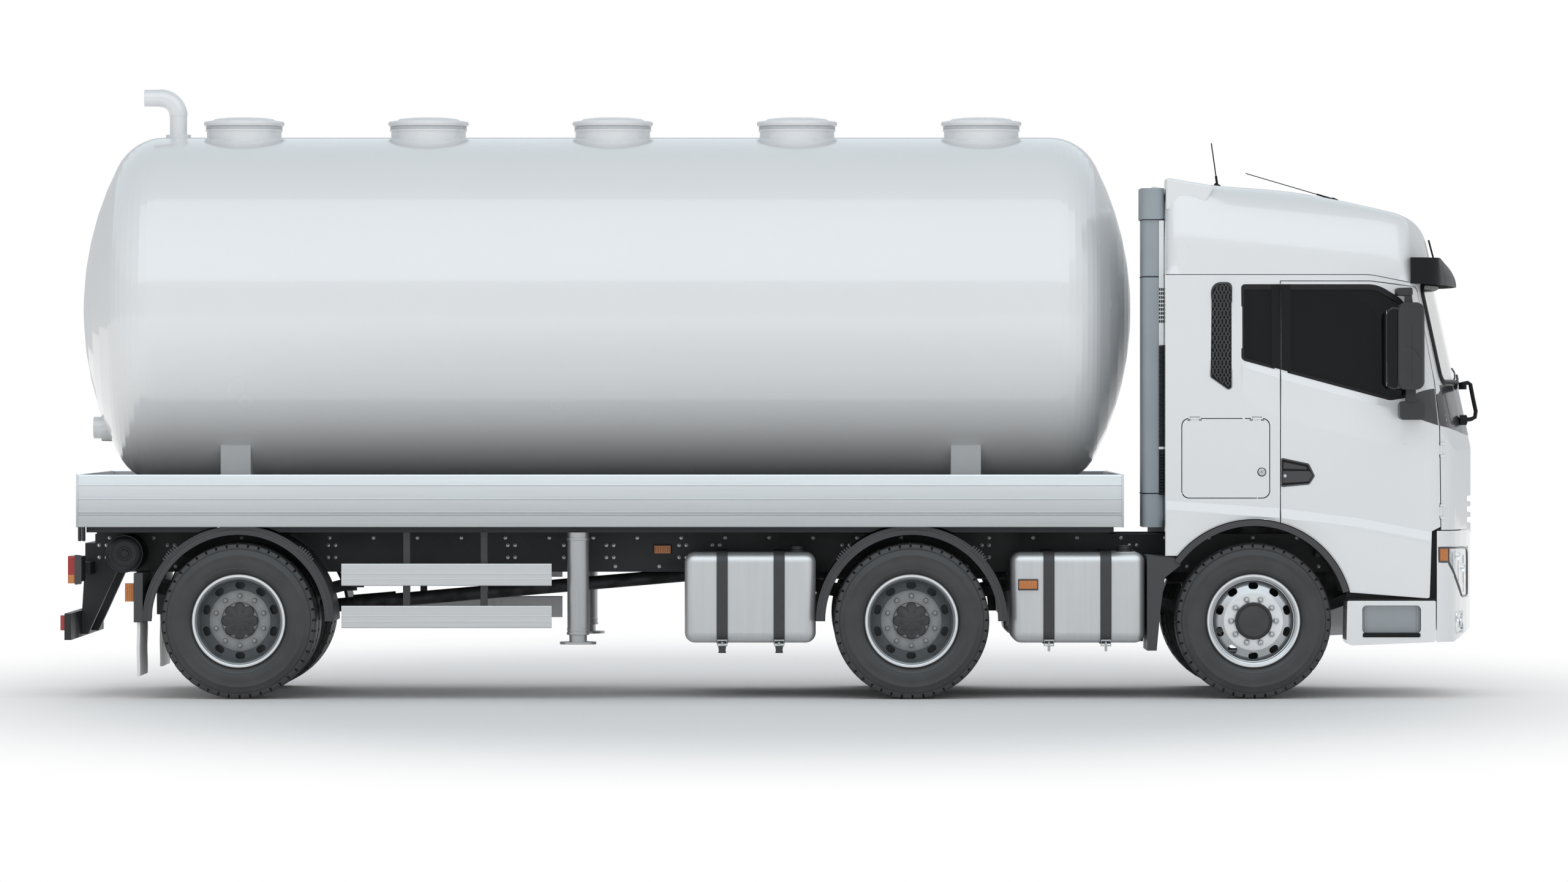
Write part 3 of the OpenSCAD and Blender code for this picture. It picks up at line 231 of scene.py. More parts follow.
def turned(form, profile, place, out=(0, 1, 0), parts=48):
    """Turns rows of (radius, distance along the axis) round the axis that starts at place and points out."""
    turn = Vector((0, 0, 1)).rotation_difference(Vector(out)).to_matrix()
    rings = []
    points = []
    for radius, distance in profile:
        count = parts if radius > 1e-6 else 1
        rings.append([len(points) + i for i in range(count)])
        for i in range(count):
            a = 2 * math.pi * i / parts
            spoke = Vector((radius * math.cos(a), radius * math.sin(a), distance))
            points.append(Vector(place) + turn @ spoke)
    faces = []
    for low, high in zip(rings, rings[1:]):
        for i in range(parts):
            j = (i + 1) % parts
            corners = [low[i % len(low)], low[j % len(low)], high[j % len(high)], high[i % len(high)]]
            faces.append(tuple(dict.fromkeys(corners)))
    form.add(points, faces)


def piece(name, body, material, form, soft=0.0, sharp=35, rounds=2):
    """A new object from a form, riding on a body. soft is the width of its edges' bevel, and its shading is
    smooth where faces meet below the angle sharp."""
    mesh = bpy.data.meshes.new(name)
    mesh.from_pydata([tuple(p) for p in form.points], [], form.faces)
    shell = bmesh.new()
    shell.from_mesh(mesh)
    bmesh.ops.recalc_face_normals(shell, faces=shell.faces)
    shell.to_mesh(mesh)
    shell.free()
    mesh.materials.append(material)
    mesh.polygons.foreach_set("use_smooth", [True] * len(mesh.polygons))
    mesh.set_sharp_from_angle(angle=math.radians(sharp))
    thing = bpy.data.objects.new(name, mesh)
    scene.collection.objects.link(thing)
    if soft:
        edge = thing.modifiers.new("soft_edges", "BEVEL")
        edge.width = soft
        edge.segments = rounds
        edge.limit_method = "ANGLE"
        edge.angle_limit = math.radians(40)
    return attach(thing, body)


chassis_paint, spot = start("chassis_paint")
dust = spot.noise(3.0, 5.0).step(0.42, 0.72)
shade(chassis_paint, Base_Color=dust.between((0.013, 0.014, 0.016), (0.028, 0.029, 0.031)),
      Roughness=dust * 0.2 + 0.38, Normal=spot.noise(220.0).bump(0.0006, 0.25))
dress(chassis_paint, "frame", "bed_deck", "underrun_bar", "air_reservoirs")
zinc = finish("zinc_plate", (80.0,), (0.55, 0.56, 0.57), (0.72, 0.73, 0.74), (0.2, 0.25), 60.0, Metallic=1.0)
bolt_head = ((0.0125, 0), (0.0125, 0.003), (0.009, 0.0035), (0.009, 0.010), (0.0065, 0.0115), (0, 0.0115))
channel_face = 430
bolt_heights = (1034, 846)
cross_members = (-7545, -7095, -6035, -4850, -4480, -4200, -3720, -3500, -2644, -1724, -750, 1180)
bolts = Form()
for sign in sides.values():
    places = [(x, bolt_heights[k % 2]) for k, x in enumerate(range(-7500, 1200, 145))]
    places += [(x + dx, z) for x in cross_members for z in (905, 985) for dx in (-24, 24)]
    for x, z in places:
        turned(bolts, bolt_head, at(x, sign * channel_face, z), (0, sign, 0), 6)
piece("frame_bolts", "chassis", zinc, bolts)

# Axles, springs, prop shaft and engine: forged and cast steel, dark and a little oily. Each spring pack is
# clamped to its axle by two U-bolts over a pressed plate.
cast_steel, spot = start("cast_steel", Metallic=0.35)
grime = spot.noise(9.0, 6.0).step(0.35, 0.7)
shade(cast_steel, Base_Color=grime.between((0.05, 0.051, 0.054), (0.022, 0.022, 0.023)),
      Roughness=grime * 0.25 + 0.45, Normal=spot.noise(140.0, 4.0).bump(0.001, 0.5))
dress(cast_steel, "axles", "leaf_springs", "prop_shaft", "engine", "knuckle_right", "knuckle_left", "tie_rod")
axle_at = {"front": 0, "mid": -2224, "rear": -6595}
axle_height = 507


def woven(form, rows, closed=False, ring=True):
    """Faces between rows of points, each a ring if ring is set. closed joins the last row to the first."""
    n = len(rows)
    w = len(rows[0])
    cells = [(i, j) for i in range(n if closed else n - 1) for j in range(w if ring else w - 1)]
    form.add([point for row in rows for point in row],
             [(i * w + j, i * w + (j + 1) % w, (i + 1) % n * w + (j + 1) % w, (i + 1) % n * w + j)
              for i, j in cells])


def pipe(form, path, radius, parts=10, closed=False):
    """A round tube along a path of points."""
    count = len(path)
    turns = [2 * math.pi * k / parts for k in range(parts)]
    rings = []
    for i, point in enumerate(path):
        before = path[i - 1] if i or closed else point
        after = path[(i + 1) % count] if i < count - 1 or closed else point
        onward = (after - before).normalized()
        if i == 0:
            across = onward.orthogonal().normalized()
        across = (across - onward * across.dot(onward)).normalized()
        up = onward.cross(across)
        rings.append([point + radius * (math.cos(a) * across + math.sin(a) * up) for a in turns])
    first = len(form.points)
    woven(form, rings, closed)
    if not closed:
        last = first + (count - 1) * parts
        form.faces += [tuple(range(first, first + parts)), tuple(range(last, last + parts))]


def block(form, low, high):
    """A box between two corners in millimetres."""
    points = [at(*((low, high)[k >> n & 1][n] for n in range(3))) for k in range(8)]
    form.add(points, [(0, 2, 3, 1), (4, 5, 7, 6), (0, 1, 5, 4), (2, 6, 7, 3), (0, 4, 6, 2), (1, 3, 7, 5)])


clamps = Form()
for sign in sides.values():
    for axle, low, high in (("front", 440, 585), ("mid", 420, 700), ("rear", 420, 700)):
        half = [(52, low), (52, high - 26), (42, high - 6), (26, high)]
        bow = [(-across, z) for across, z in half] + half[::-1]
        for dx in (-70, 70):
            pipe(clamps, [at(axle_at[axle] + dx, sign * 425 + across, z) for across, z in bow], 0.010)
piece("spring_clamps", "chassis", cast_steel, clamps)

# Wheels: road tyres on ten-hole steel discs, single and polished at the front, twin and painted grey at the
# two rear axles. The tread's shoulder blocks are moulded in, and each disc is held by ten nuts round its hub.
axle_z = axle_height / 1000
tyre_rubber, spot = start("tyre_rubber")
worn = spot.noise(6.0, 4.0).step(0.35, 0.7)
shade(tyre_rubber, Base_Color=worn.between((0.040, 0.041, 0.043), (0.052, 0.053, 0.055)),
      Roughness=worn * 0.12 + 0.42, Normal=spot.noise(400.0).bump(0.0005, 0.25))
polished_rim = finish("polished_rim", (30.0, 4.0), (0.50, 0.51, 0.52), (0.60, 0.61, 0.62), (0.15, 0.28),
                      Metallic=0.9)
painted_rim = finish("painted_rim", (24.0, 4.0), (0.17, 0.182, 0.194), (0.24, 0.252, 0.262), (0.15, 0.3),
                     Metallic=0.5)
cast_hub, spot = start("cast_hub", Metallic=0.4)
shade(cast_hub, Base_Color=spot.noise(40.0, 4.0).between((0.26, 0.263, 0.267), (0.38, 0.383, 0.386)),
      Roughness=spot.noise(18.0) * 0.2 + 0.4, Normal=spot.noise(160.0).bump(0.0006, 0.5))
rim_edge = finish("bright_rim_edge", (30.0,), (0.80, 0.81, 0.82), (0.88, 0.89, 0.90),
                  Metallic=0.6, Roughness=0.25)
hub_black = finish("hub_black", (20.0,), (0.035, 0.035, 0.037), (0.055, 0.055, 0.058), (0.2, 0.4), 9.0)
ring_black = finish("cap_ring_black", (20.0,), (0.012, 0.012, 0.013), (0.018, 0.018, 0.019), Roughness=0.45)

# Each row of half the tyre's section: radius, distance from the middle, depth lost in a shoulder notch
tyre_rows = (
    (0.5070, 0.000, 0), (0.5070, 0.021, 0), (0.4930, 0.022, 0), (0.4930, 0.034, 0), (0.5068, 0.035, 0),
    (0.5064, 0.076, 0), (0.4925, 0.077, 0), (0.4925, 0.090, 0), (0.5060, 0.091, 0.014),
    (0.5048, 0.118, 0.014), (0.5020, 0.131, 0.014), (0.4960, 0.1365, 0.014), (0.4860, 0.1395, 0.012),
    (0.4780, 0.1412, 0), (0.4720, 0.1420, 0), (0.4700, 0.1390, 0), (0.4670, 0.1390, 0), (0.4650, 0.1435, 0),
    (0.4560, 0.1470, 0), (0.4330, 0.1525, 0), (0.4310, 0.1542, 0), (0.4250, 0.1545, 0), (0.4230, 0.1535, 0),
    (0.3920, 0.1555, 0), (0.3640, 0.1530, 0), (0.3440, 0.1480, 0), (0.3420, 0.1490, 0), (0.3360, 0.1470, 0),
    (0.3250, 0.1390, 0), (0.3150, 0.1290, 0), (0.3070, 0.1172, 0), (0.2864, 0.1167, 0), (0.2864, 0.0850, 0),
)
section = [(r, -a, d) for r, a, d in tyre_rows[:0:-1]] + list(tyre_rows)
lugs = 44
lug_steps = ((0.0, 0), (0.40, 0), (0.80, 0), (0.82, 1), (0.98, 1))


def tyre(form, x, y):
    """One tyre on the axle at x, with its middle at y and a notch between each two of its lugs."""
    rows = []
    for k in range(lugs):
        for share, cut in lug_steps:
            angle = 2 * math.pi * (k + share) / lugs
            row = []
            for radius, across, depth in section:
                r = radius - cut * depth
                drawn_in = cut * depth * 0.9 if radius < 0.499 else 0.0
                shift = across - math.copysign(drawn_in, across)
                row.append((x + r * math.sin(angle), y + shift, axle_z + r * math.cos(angle)))
            rows.append(row)
    woven(form, rows, closed=True, ring=False)


def fan(form, count, tip):
    """Closes the ring of a form's last points with three-sided faces that meet at a tip."""
    first = len(form.points) - count
    form.points.append(tip)
    form.faces += [(first + i, first + (i + 1) % count, first + count) for i in range(count)]


rim_lip = ((0.2835, 0.120), (0.2845, 0.1300), (0.2885, 0.1335), (0.2990, 0.1335), (0.3028, 0.1305),
           (0.3030, 0.120))
rim_step = ((0.262, 0.080), (0.264, 0.0870), (0.268, 0.0880), (0.271, 0.084), (0.272, 0.074))
front_plate = ((0.118, 0.1105), (0.118, 0.1145), (0.150, 0.1150), (0.184, 0.1145), (0.192, 0.1125),
               (0.194, 0.1085))
twin_plate = ((0.120, -0.018), (0.120, -0.011), (0.150, -0.010), (0.192, -0.011), (0.199, -0.015),
              (0.201, -0.028))
front_cap = ((0.119, 0.112), (0.120, 0.150), (0.116, 0.1545), (0.101, 0.1550), (0.098, 0.1515),
             (0.060, 0.1530), (0, 0.1535))
cap_edge = ((0.1195, 0.116), (0.1215, 0.148), (0.1180, 0.1560), (0.1040, 0.1570), (0.1000, 0.1530))
# Each row of a wheel nut: how many sides it has, and its profile
nut_turnings = (
    (20, ((0.0235, 0), (0.0235, 0.005), (0.017, 0.006))),
    (6, ((0.0165, 0.004), (0.0165, 0.024), (0.013, 0.028), (0.009, 0.028))),
    (12, ((0.009, 0.02), (0.009, 0.036), (0, 0.038))),
)
# A twin wheel's hub cap has eight lobes; its rows are distance along the axle and share of the full radius
lobe_parts = 96
lobe_turns = [2 * math.pi * i / lobe_parts for i in range(lobe_parts)]
lobes = [(a, 0.106 + 0.015 * (2 * abs(math.cos(4 * a)) ** 0.7 - 1)) for a in lobe_turns]
lobe_rows = ((-0.014, 1.0), (0.022, 1.0), (0.028, 0.94), (0.0285, 0.70), (0.031, 0.66))
for axle, ahead_of in axle_at.items():
    for side, sign in sides.items():
        body = f"wheel_{axle}_{side}"
        front = axle == "front"
        x = at(ahead_of, 0, 0).x
        middle = sign * (1.03 if front else 1.08)
        centre = (x, middle, axle_z)
        out = (0, sign, 0)
        rubber, lip, plate, nuts, cap = Form(), Form(), Form(), Form(), Form()
        for y in (middle,) if front else (middle, middle - sign * 0.34):
            tyre(rubber, x, y)
        tread = piece(f"tyre_tread_{axle}_{side}", body, tyre_rubber, rubber, sharp=40)
        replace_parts(tread, f"tyre_{axle}_{side}")
        dress(polished_rim if front else painted_rim, f"rim_{axle}_{side}")
        turned(lip, rim_lip, centre, out, 96)
        if front:
            turned(lip, rim_step, centre, out, 96)
        piece(f"rim_edge_{axle}_{side}", body, rim_edge, lip)
        turned(plate, front_plate if front else twin_plate, centre, out, 96)
        piece(f"hub_plate_{axle}_{side}", body, rim_edge if front else cast_hub, plate)
        circle, seat = (0.146, 0.1145) if front else (0.162, -0.011)
        for k in range(10):
            a = 2 * math.pi * (k + 0.5 * front) / 10
            place = (x + circle * math.sin(a), middle + sign * seat, axle_z + circle * math.cos(a))
            for parts, profile in nut_turnings:
                turned(nuts, profile, place, out, parts)
        piece(f"wheel_nuts_{axle}_{side}", body, zinc if front else cast_hub, nuts)
        if front:
            turned(cap, front_cap, centre, out, 64)
        else:
            stack = [(middle + sign * distance, grow) for distance, grow in lobe_rows]
            woven(cap, [[(x + grow * r * math.sin(a), y, axle_z + grow * r * math.cos(a)) for a, r in lobes]
                        for y, grow in stack])
            fan(cap, lobe_parts, (x, stack[-1][0], axle_z))
        piece(f"hub_cap_{axle}_{side}", body, hub_black, cap)
        if front:
            cap_ring = Form()
            turned(cap_ring, cap_edge, centre, out, 64)
            piece(f"hub_cap_ring_{side}", body, ring_black, cap_ring)

# Bed: extruded aluminium planks stand round a dark floor, each side closed by pressed corner posts. Two black
# stop brackets hang under its rear edge.
plank, spot = start("aluminium_plank", Metallic=0.6)
grain = spot.noise(60.0, 3.0, (0.02, 1, 1))
# The planks' colour runs from dark low down to pale at the top: painted shade below and a painted highlight
# along the top edge.
painted_light_by_height = spot.axis("Z").step(1.10, 1.47)
shade(plank, Roughness=grain * 0.15 + 0.33,
      Base_Color=painted_light_by_height.between(grain.between((0.46, 0.47, 0.475), (0.54, 0.55, 0.555)),
                                   grain.between((0.74, 0.77, 0.79), (0.80, 0.83, 0.85))))
dress(plank, "sideboards")


def rounded(rows, steps=6):
    """Outline from rows of (u, v, corner radius)."""
    outline = []
    for k, (u, v, r) in enumerate(rows):
        here = Vector((u, v))
        back = (Vector(rows[k - 1][:2]) - here).normalized()
        onward = (Vector(rows[(k + 1) % len(rows)][:2]) - here).normalized()
        half = back.angle(onward) / 2
        if r <= 0 or half > 1.56:
            outline.append(here)
            continue
        middle = here + (back + onward).normalized() * (r / math.sin(half))
        first = here + back * (r / math.tan(half)) - middle
        last = here + onward * (r / math.tan(half)) - middle
        swing = first.angle_signed(last)
        outline += [middle + Matrix.Rotation(-swing * i / steps, 2) @ first for i in range(steps + 1)]
    return outline


def oblong(u0, v0, u1, v1, *radii, steps=6):
    """Outline of a rectangle between two corners, with one radius or one for each corner."""
    corners = ((u0, v0), (u1, v0), (u1, v1), (u0, v1))
    radii = radii if len(radii) > 1 else radii * 4
    return rounded([(u, v, r) for (u, v), r in zip(corners, radii)], steps)


def prism(form, outline, low, high, axis="y"):
    """An outline in millimetres drawn out along an axis: (x, z) along y, (y, z) along x or (x, y) along z."""
    place = {"y": lambda u, v, w: at(u, w, v), "x": lambda u, v, w: at(w, u, v), "z": at}[axis]
    n = len(outline)
    walls = [(i, (i + 1) % n, n + (i + 1) % n, n + i) for i in range(n)]
    form.add([place(u, v, w) for w in (low, high) for u, v in outline],
             [tuple(range(n)), tuple(range(2 * n - 1, n - 1, -1))] + walls)


posts, stops = Form(), Form()
for sign in sides.values():
    for x in (-7645, -862):
        prism(posts, oblong(x, sign * 1246, x + 14, sign * 1278, 0, 0, 5, 5), 1117, 1461, "z")
    for x in (-7633, -7608):
        bracket = rounded(((x, 1119, 0), (x + 18, 1119, 0), (x + 18, 1024, 6), (x, 1030, 6)))
        prism(stops, bracket, sign * 1190, sign * 1262)
piece("bed_posts", "chassis", plank, posts, 0.001)
piece("bed_stops", "chassis", chassis_paint, stops, 0.002)

# Tank: rolled steel shell with dished ends under glossy white paint, bolted to two pressed cradles. Grey
# rubber gaskets seal the manhole lids, whose crowns are pressed.
white_paint = finish("white_paint", (1.3,), (0.765, 0.778, 0.788), (0.790, 0.803, 0.813), (0.08, 0.22),
                     Coat_Weight=1.0, Coat_Roughness=0.04, Coat_IOR=1.6)
dress(white_paint, "tank_shell", "cab_shell", "roof_cap", "front_panel", "bumper", "cab_steps", "door_right",
      "door_left", "locker_right", "locker_left", *[f"manhole_lid_{number}" for number in range(1, 6)])
cradle_paint = finish("cradle_paint", (4.0,), (0.50, 0.52, 0.535), (0.56, 0.58, 0.595), (0.15, 0.4), 8.0)
dress(cradle_paint, "tank_cradles")
gasket_rubber = finish("gasket_rubber", (30.0,), (0.52, 0.54, 0.56), (0.60, 0.62, 0.64), (0.2, 0.5), 20.0)
gasket_edge = ((0.246, -0.022), (0.2535, -0.021), (0.2535, -0.003), (0.246, -0.002))
lid_bead = ((0.2665, 0.012), (0.2675, 0.018), (0.2665, 0.024), (0.2600, 0.0285))
lid_crown = ((0.205, 0.0375), (0.200, 0.0440), (0.190, 0.0490), (0.120, 0.0565), (0, 0.0585))
for number in range(1, 6):
    low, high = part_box(f"manhole_lid_{number}")
    middle = ((low[0] + high[0]) / 2, 0, low[2])
    gasket, crown = Form(), Form()
    turned(gasket, gasket_edge, middle, (0, 0, 1), 72)
    piece(f"lid_gasket_{number}", "chassis", gasket_rubber, gasket)
    turned(crown, lid_bead, middle, (0, 0, 1), 72)
    turned(crown, lid_crown, middle, (0, 0, 1), 72)
    piece(f"lid_crown_{number}", f"manhole_{number}", white_paint, crown)

# Mudguards: black moulded plastic sheets over the twin wheels, stiffened by rolled edges and held to their
# stays by ribbed clips. A pale flap hangs behind the rear wheels.
guard_plastic, spot = start("guard_plastic")
mould = spot.noise(500.0, 2.0)
shade(guard_plastic, Base_Color=mould.between((0.044, 0.045, 0.048), (0.054, 0.055, 0.058)),
      Roughness=spot.noise(4.0).step(0.3, 0.7, 0.36, 0.5), Normal=mould.bump(0.0004, 0.3))
dress(guard_plastic, "mudguards")
flap_sheet = finish("flap_sheet", (6.0, 4.0), (0.74, 0.74, 0.73), (0.82, 0.82, 0.81), Roughness=0.4)
edges, clips, flaps = Form(), Form(), Form()
for sign in sides.values():
    for x in (axle_at["mid"], axle_at["rear"]):
        for radius, thick in ((617, 0.005), (597, 0.004), (566, 0.005)):
            turns = [math.radians(a) for a in range(0, 181, 4)]
            pipe(edges, [at(x + radius * math.cos(a), sign * 1243.5, axle_height + radius * math.sin(a))
                         for a in turns], thick, 8)
        for a in (45, 135):
            for k in range(-3, 4):
                b = math.radians(a + k * 1.7)
                u, v = math.cos(b), math.sin(b)
                tip = 646 - abs(k) * 3
                corners = ((600, -7), (600, 7), (tip, 5), (tip, -5))
                rib = [(x + r * u - t * v, axle_height + r * v + t * u) for r, t in corners]
                prism(clips, rib, sign * 1215, sign * 1247)
    waves = [(1.5 * math.sin(i * 0.9), 512 - 36.2 * i) for i in range(11)]
    flap = [(-7254 + w, z) for w, z in waves] + [(-7234 + w, z) for w, z in reversed(waves)]
    prism(flaps, flap, sign * 615, sign * 1226)
piece("guard_edges", "chassis", guard_plastic, edges)
piece("guard_clips", "chassis", guard_plastic, clips, 0.002)
piece("rear_flaps", "chassis", flap_sheet, flaps, 0.002)

# Fuel tanks: welded aluminium boxes with wide round edges, held by two painted steel straps each. Every strap
# closes under the tank with a bright clasp, and a black cap sits on top.
brushed_tank = finish("brushed_tank", (40.0, 3.0, (1, 1, 0.05)), (0.62, 0.625, 0.63), (0.70, 0.705, 0.71),
                      (0.12, 0.34), Metallic=0.7)
strap_paint = finish("strap_paint", (30.0,), (0.036, 0.037, 0.039), (0.050, 0.051, 0.053), (0.2, 0.4), 12.0)
dress(strap_paint, "tank_straps")
filler_cap = ((0.058, 0), (0.058, 0.012), (0.050, 0.016), (0.050, 0.034), (0.044, 0.040), (0, 0.041))
clasp_pin = ((0.008, 0), (0.008, 0.06), (0, 0.062))
hook_edge = ((-28, 356, 0), (28, 356, 0), (22, 318, 6), (26, 300, 4), (-26, 300, 4), (-22, 318, 6))
boxes, clasps, hooks, caps = Form(), Form(), Form(), Form()
for sign in sides.values():
    near, far = sorted((sign * 562, sign * 1212))
    for tail, nose, hooked in ((-3698, -2846, True), (-1576, -707, False)):
        block(boxes, (tail, near, 366), (nose, far, 954))
        turned(caps, filler_cap, at(nose - 120, sign * 900, 953), (0, 0, 1), 24)
        for x in (tail + 244, tail + 614):
            loop = ((x - 31, 350), (x - 31, 382), (x + 31, 382), (x + 31, 350))
            pipe(clasps, [at(u, sign * 1222, v) for u, v in loop], 0.006, 8, True)
            turned(clasps, clasp_pin, at(x, sign * 1212, 372), (0, 0, -1), 12)
            if hooked:
                prism(hooks, rounded([(x + u, v, r) for u, v, r in hook_edge]), sign * 1196, sign * 1224)
tanks = piece("fuel_boxes", "chassis", brushed_tank, boxes, 0.066, 35, 7)
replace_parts(tanks, "fuel_tanks")
piece("fuel_caps", "chassis", guard_plastic, caps)
piece("strap_clasps", "chassis", zinc, clasps)
piece("strap_hooks", "chassis", strap_paint, hooks, 0.003)

# Side guards and support legs: extruded aluminium rails with rolled beads on welded posts, and telescopic
# steel legs with a collar, pinned under the bed.
rail_metal = finish("rail_metal", (60.0, 3.0, (0.02, 1, 1)), (0.62, 0.625, 0.63), (0.70, 0.705, 0.71),
                    (0.15, 0.33), Metallic=0.55)
dress(rail_metal, "side_guards")
leg_steel = finish("leg_steel", (50.0, 3.0, (1, 1, 0.04)), (0.46, 0.465, 0.47), (0.56, 0.565, 0.57),
                   (0.15, 0.28), Metallic=0.8)
dress(leg_steel, "leg_tubes", "leg_right", "leg_left")
leg_radius = 0.070
beads, collars, sleeves = Form(), Form(), Form()
for sign in sides.values():
    for z in (463, 737):
        for rise in (43.5, 79.75):
            pipe(beads, [at(x, sign * 1245, z + rise) for x in (-5924, -4562)], 0.003, 8)
    for x in (-5504, -5001):
        for inner, outer, low, high in ((1183, 1217, 606, 739), (1133, 1189, 880, 1084)):
            prism(sleeves, oblong(x - 23, sign * inner, x + 23, sign * outer, 0, 0, 4, 4), low, high, "z")
    for z, r in ((426, 0.074), (452, 0.072), (1040, 0.076)):
        collar = ((leg_radius, -0.009), (r, -0.007), (r, 0.007), (leg_radius, 0.009))
        turned(collars, collar, at(-4391, sign * 1160, z), (0, 0, 1), 48)
piece("guard_beads", "chassis", rail_metal, beads)
piece("guard_post_sleeves", "chassis", strap_paint, sleeves)
piece("leg_collars", "chassis", leg_steel, collars)

# Rear lamps and reflectors: moulded lenses in black housings, the lower third of each rear lamp amber, and
# amber markers along the sides. The reservoir's pressed end shows its weld rings.
red_lens = finish("red_lens", (90.0,), (0.36, 0.010, 0.010), (0.46, 0.022, 0.020),
                  Roughness=0.12, Coat_Weight=0.6)
amber_lens = finish("amber_lens", (90.0,), (0.52, 0.16, 0.025), (0.64, 0.23, 0.05),
                    Roughness=0.15, Coat_Weight=0.6)
dress(red_lens, "red_lamps")
dress(amber_lens, "amber_lamps")
# Each row: a side marker's rear and front end, its face, its foot and its top
markers = ((-1526, -1409, 1236, 720, 769), (-3907, -3800, 456, 934, 980))
amber_low, red_ribs, amber_ribs, housings, weld_rings = Form(), Form(), Form(), Form(), Form()
for sign in sides.values():
    near, far = sorted((sign * 799, sign * 1161))
    block(amber_low, (-7708, near, 751), (-7663, far, 806))
    for z in range(820, 926, 12):
        pipe(red_ribs, [at(-7706, sign * y, z) for y in (806, 1154)], 0.0035, 6)
        pipe(red_ribs, [at(x, sign * 1159.5, z) for x in (-7704, -7668)], 0.0030, 6)
    for tail, nose, face, low, high in markers:
        for k in range(7):
            x = tail + 8 + (nose - tail - 16) * k / 6
            pipe(amber_ribs, [at(x, sign * face, z) for z in (low + 4, high - 4)], 0.004, 6)
        rim = oblong(tail - 4, low - 6, nose + 4, high + 6, 0)
        pipe(housings, [at(x, sign * (face - 16), z) for x, z in rim], 0.007, 8, True)
    for x in range(-7330, -7281, 12):
        pipe(amber_ribs, [at(x, sign * 1200, z) for z in (640, 746)], 0.0035, 6)
    housing_edge = rounded(((-7662, 742, 6), (-7662, 938, 6), (-7618, 934, 6), (-7618, 748, 6)))
    prism(housings, housing_edge, sign * 1158, sign * 1178)
    for radius, thick, face in ((119, 0.005, 881), (82, 0.004, 900), (44, 0.004, 900), (26, 0.006, 900)):
        turns = [2 * math.pi * i / 48 for i in range(48)]
        pipe(weld_rings, [at(-7365 + radius * math.cos(a), sign * face, 938 + radius * math.sin(a))
                          for a in turns], thick, 6, True)
piece("rear_lamp_amber", "chassis", amber_lens, amber_low, 0.003)
piece("rear_lamp_ribs", "chassis", red_lens, red_ribs)
piece("marker_ribs", "chassis", amber_lens, amber_ribs)
piece("lamp_housings", "chassis", guard_plastic, housings, 0.002)
piece("reservoir_rings", "chassis", chassis_paint, weld_rings)

# Cab shell and doors: welded steel panels under the same white paint. A belt bevel runs under the windows and
# a crease over the wheel arch; both are pressed into the panels.


def skin(*nodes):
    """A search tree over the surfaces of some solids."""
    points = []
    faces = []
    for node in nodes:
        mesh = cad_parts[node].data
        faces += [tuple(len(points) + i for i in face.vertices) for face in mesh.polygons]
        points += [v.co.copy() for v in mesh.vertices]
    return BVHTree.FromPolygons(points, faces)


cab_skin = skin("cab_shell", "door_right", "door_left", "locker_right", "locker_left", "roof_cap",
                "front_panel", "bumper", "headlamps")
glass_skin = skin("fixed_glass", "door_glass_right", "door_glass_left")
flank_face = 1245.0
glass_depth = 14


def flank(x, z, sign):
    """How far the cab's outer face lies from the middle at one place of a side; glass lies under it."""
    ray = at(x, sign * 1900, z), Vector((0, -sign, 0)), 0.8
    hit = cab_skin.ray_cast(*ray)[0]
    pane = glass_skin.ray_cast(*ray)[0]
    reach = [1000 * abs(hit.y)] if hit else []
    reach += [1000 * abs(pane.y) + glass_depth] if pane else []
    return max(reach, default=flank_face)


def shares(across, up):
    """Shares of the length and the height at each point of a grid."""
    return [(i / across, j / up) for i in range(across + 1) for j in range(up + 1)]


def sheet(form, outer, inner, across, up):
    """Two like grids of points, closed round their edge."""
    w = up + 1
    n = len(outer)
    cells = [(i * w + j, i * w + j + 1, (i + 1) * w + j + 1, (i + 1) * w + j)
             for i in range(across) for j in range(up)]
    edge = [i * w for i in range(across)] + [across * w + j for j in range(up)]
    edge += [i * w + up for i in range(across, 0, -1)] + list(range(up, 0, -1))
    form.add(outer + inner, cells + [tuple(n + k for k in cell) for cell in cells]
             + [(a, b, n + b, n + a) for a, b in zip(edge, edge[1:] + edge[:1])])


def draped(form, place, lift, sign, across=24, up=8, sink=3.0):
    """A closed sheet on one side of the cab; place and lift take shares of its length and height."""
    outer = []
    inner = []
    for u, v in shares(across, up):
        x, z = place(u, v)
        y = flank(x, z, sign)
        outer.append(at(x, sign * (y + lift(u, v)), z))
        inner.append(at(x, sign * (y - sink), z))
    sheet(form, outer, inner, across, up)


def height_on(rows, x):
    """Height at x of a line through rows of (x, z)."""
    for (x0, z0), (x1, z1) in zip(rows, rows[1:]):
        if x <= x1:
            break
    return z0 + (z1 - z0) * (x - x0) / (x1 - x0)


belt_line = ((-79, 2207), (879, 1946), (1010, 1968))
crease_line = ((-578, 1291), (162, 1241), (673, 1177), (1156, 1085))
sill_line = ((172, 1000), (603, 696), (1138, 655))
bevel = 0.3
edge_lift = 0.4
belt_gap, belt_drop, belt_run, belt_rise = 12, 46, 250, 19
crease_drop, crease_rise, crease_fall = 62, 20, 12


def past_bevel(v):
    """How far v lies past the bevel, which takes the first share of a pressing's height."""
    return (v - bevel) / (1 - bevel)


def arch_top(x):
    """Height of the wheel arch's flange at x."""
    return 527 + math.sqrt(max(0.0, 652 ** 2 - x * x))


def rear_foot(x):
    return max(936, arch_top(x))


def door_foot(x):
    return max(arch_top(x), height_on(sill_line, x) + 5)


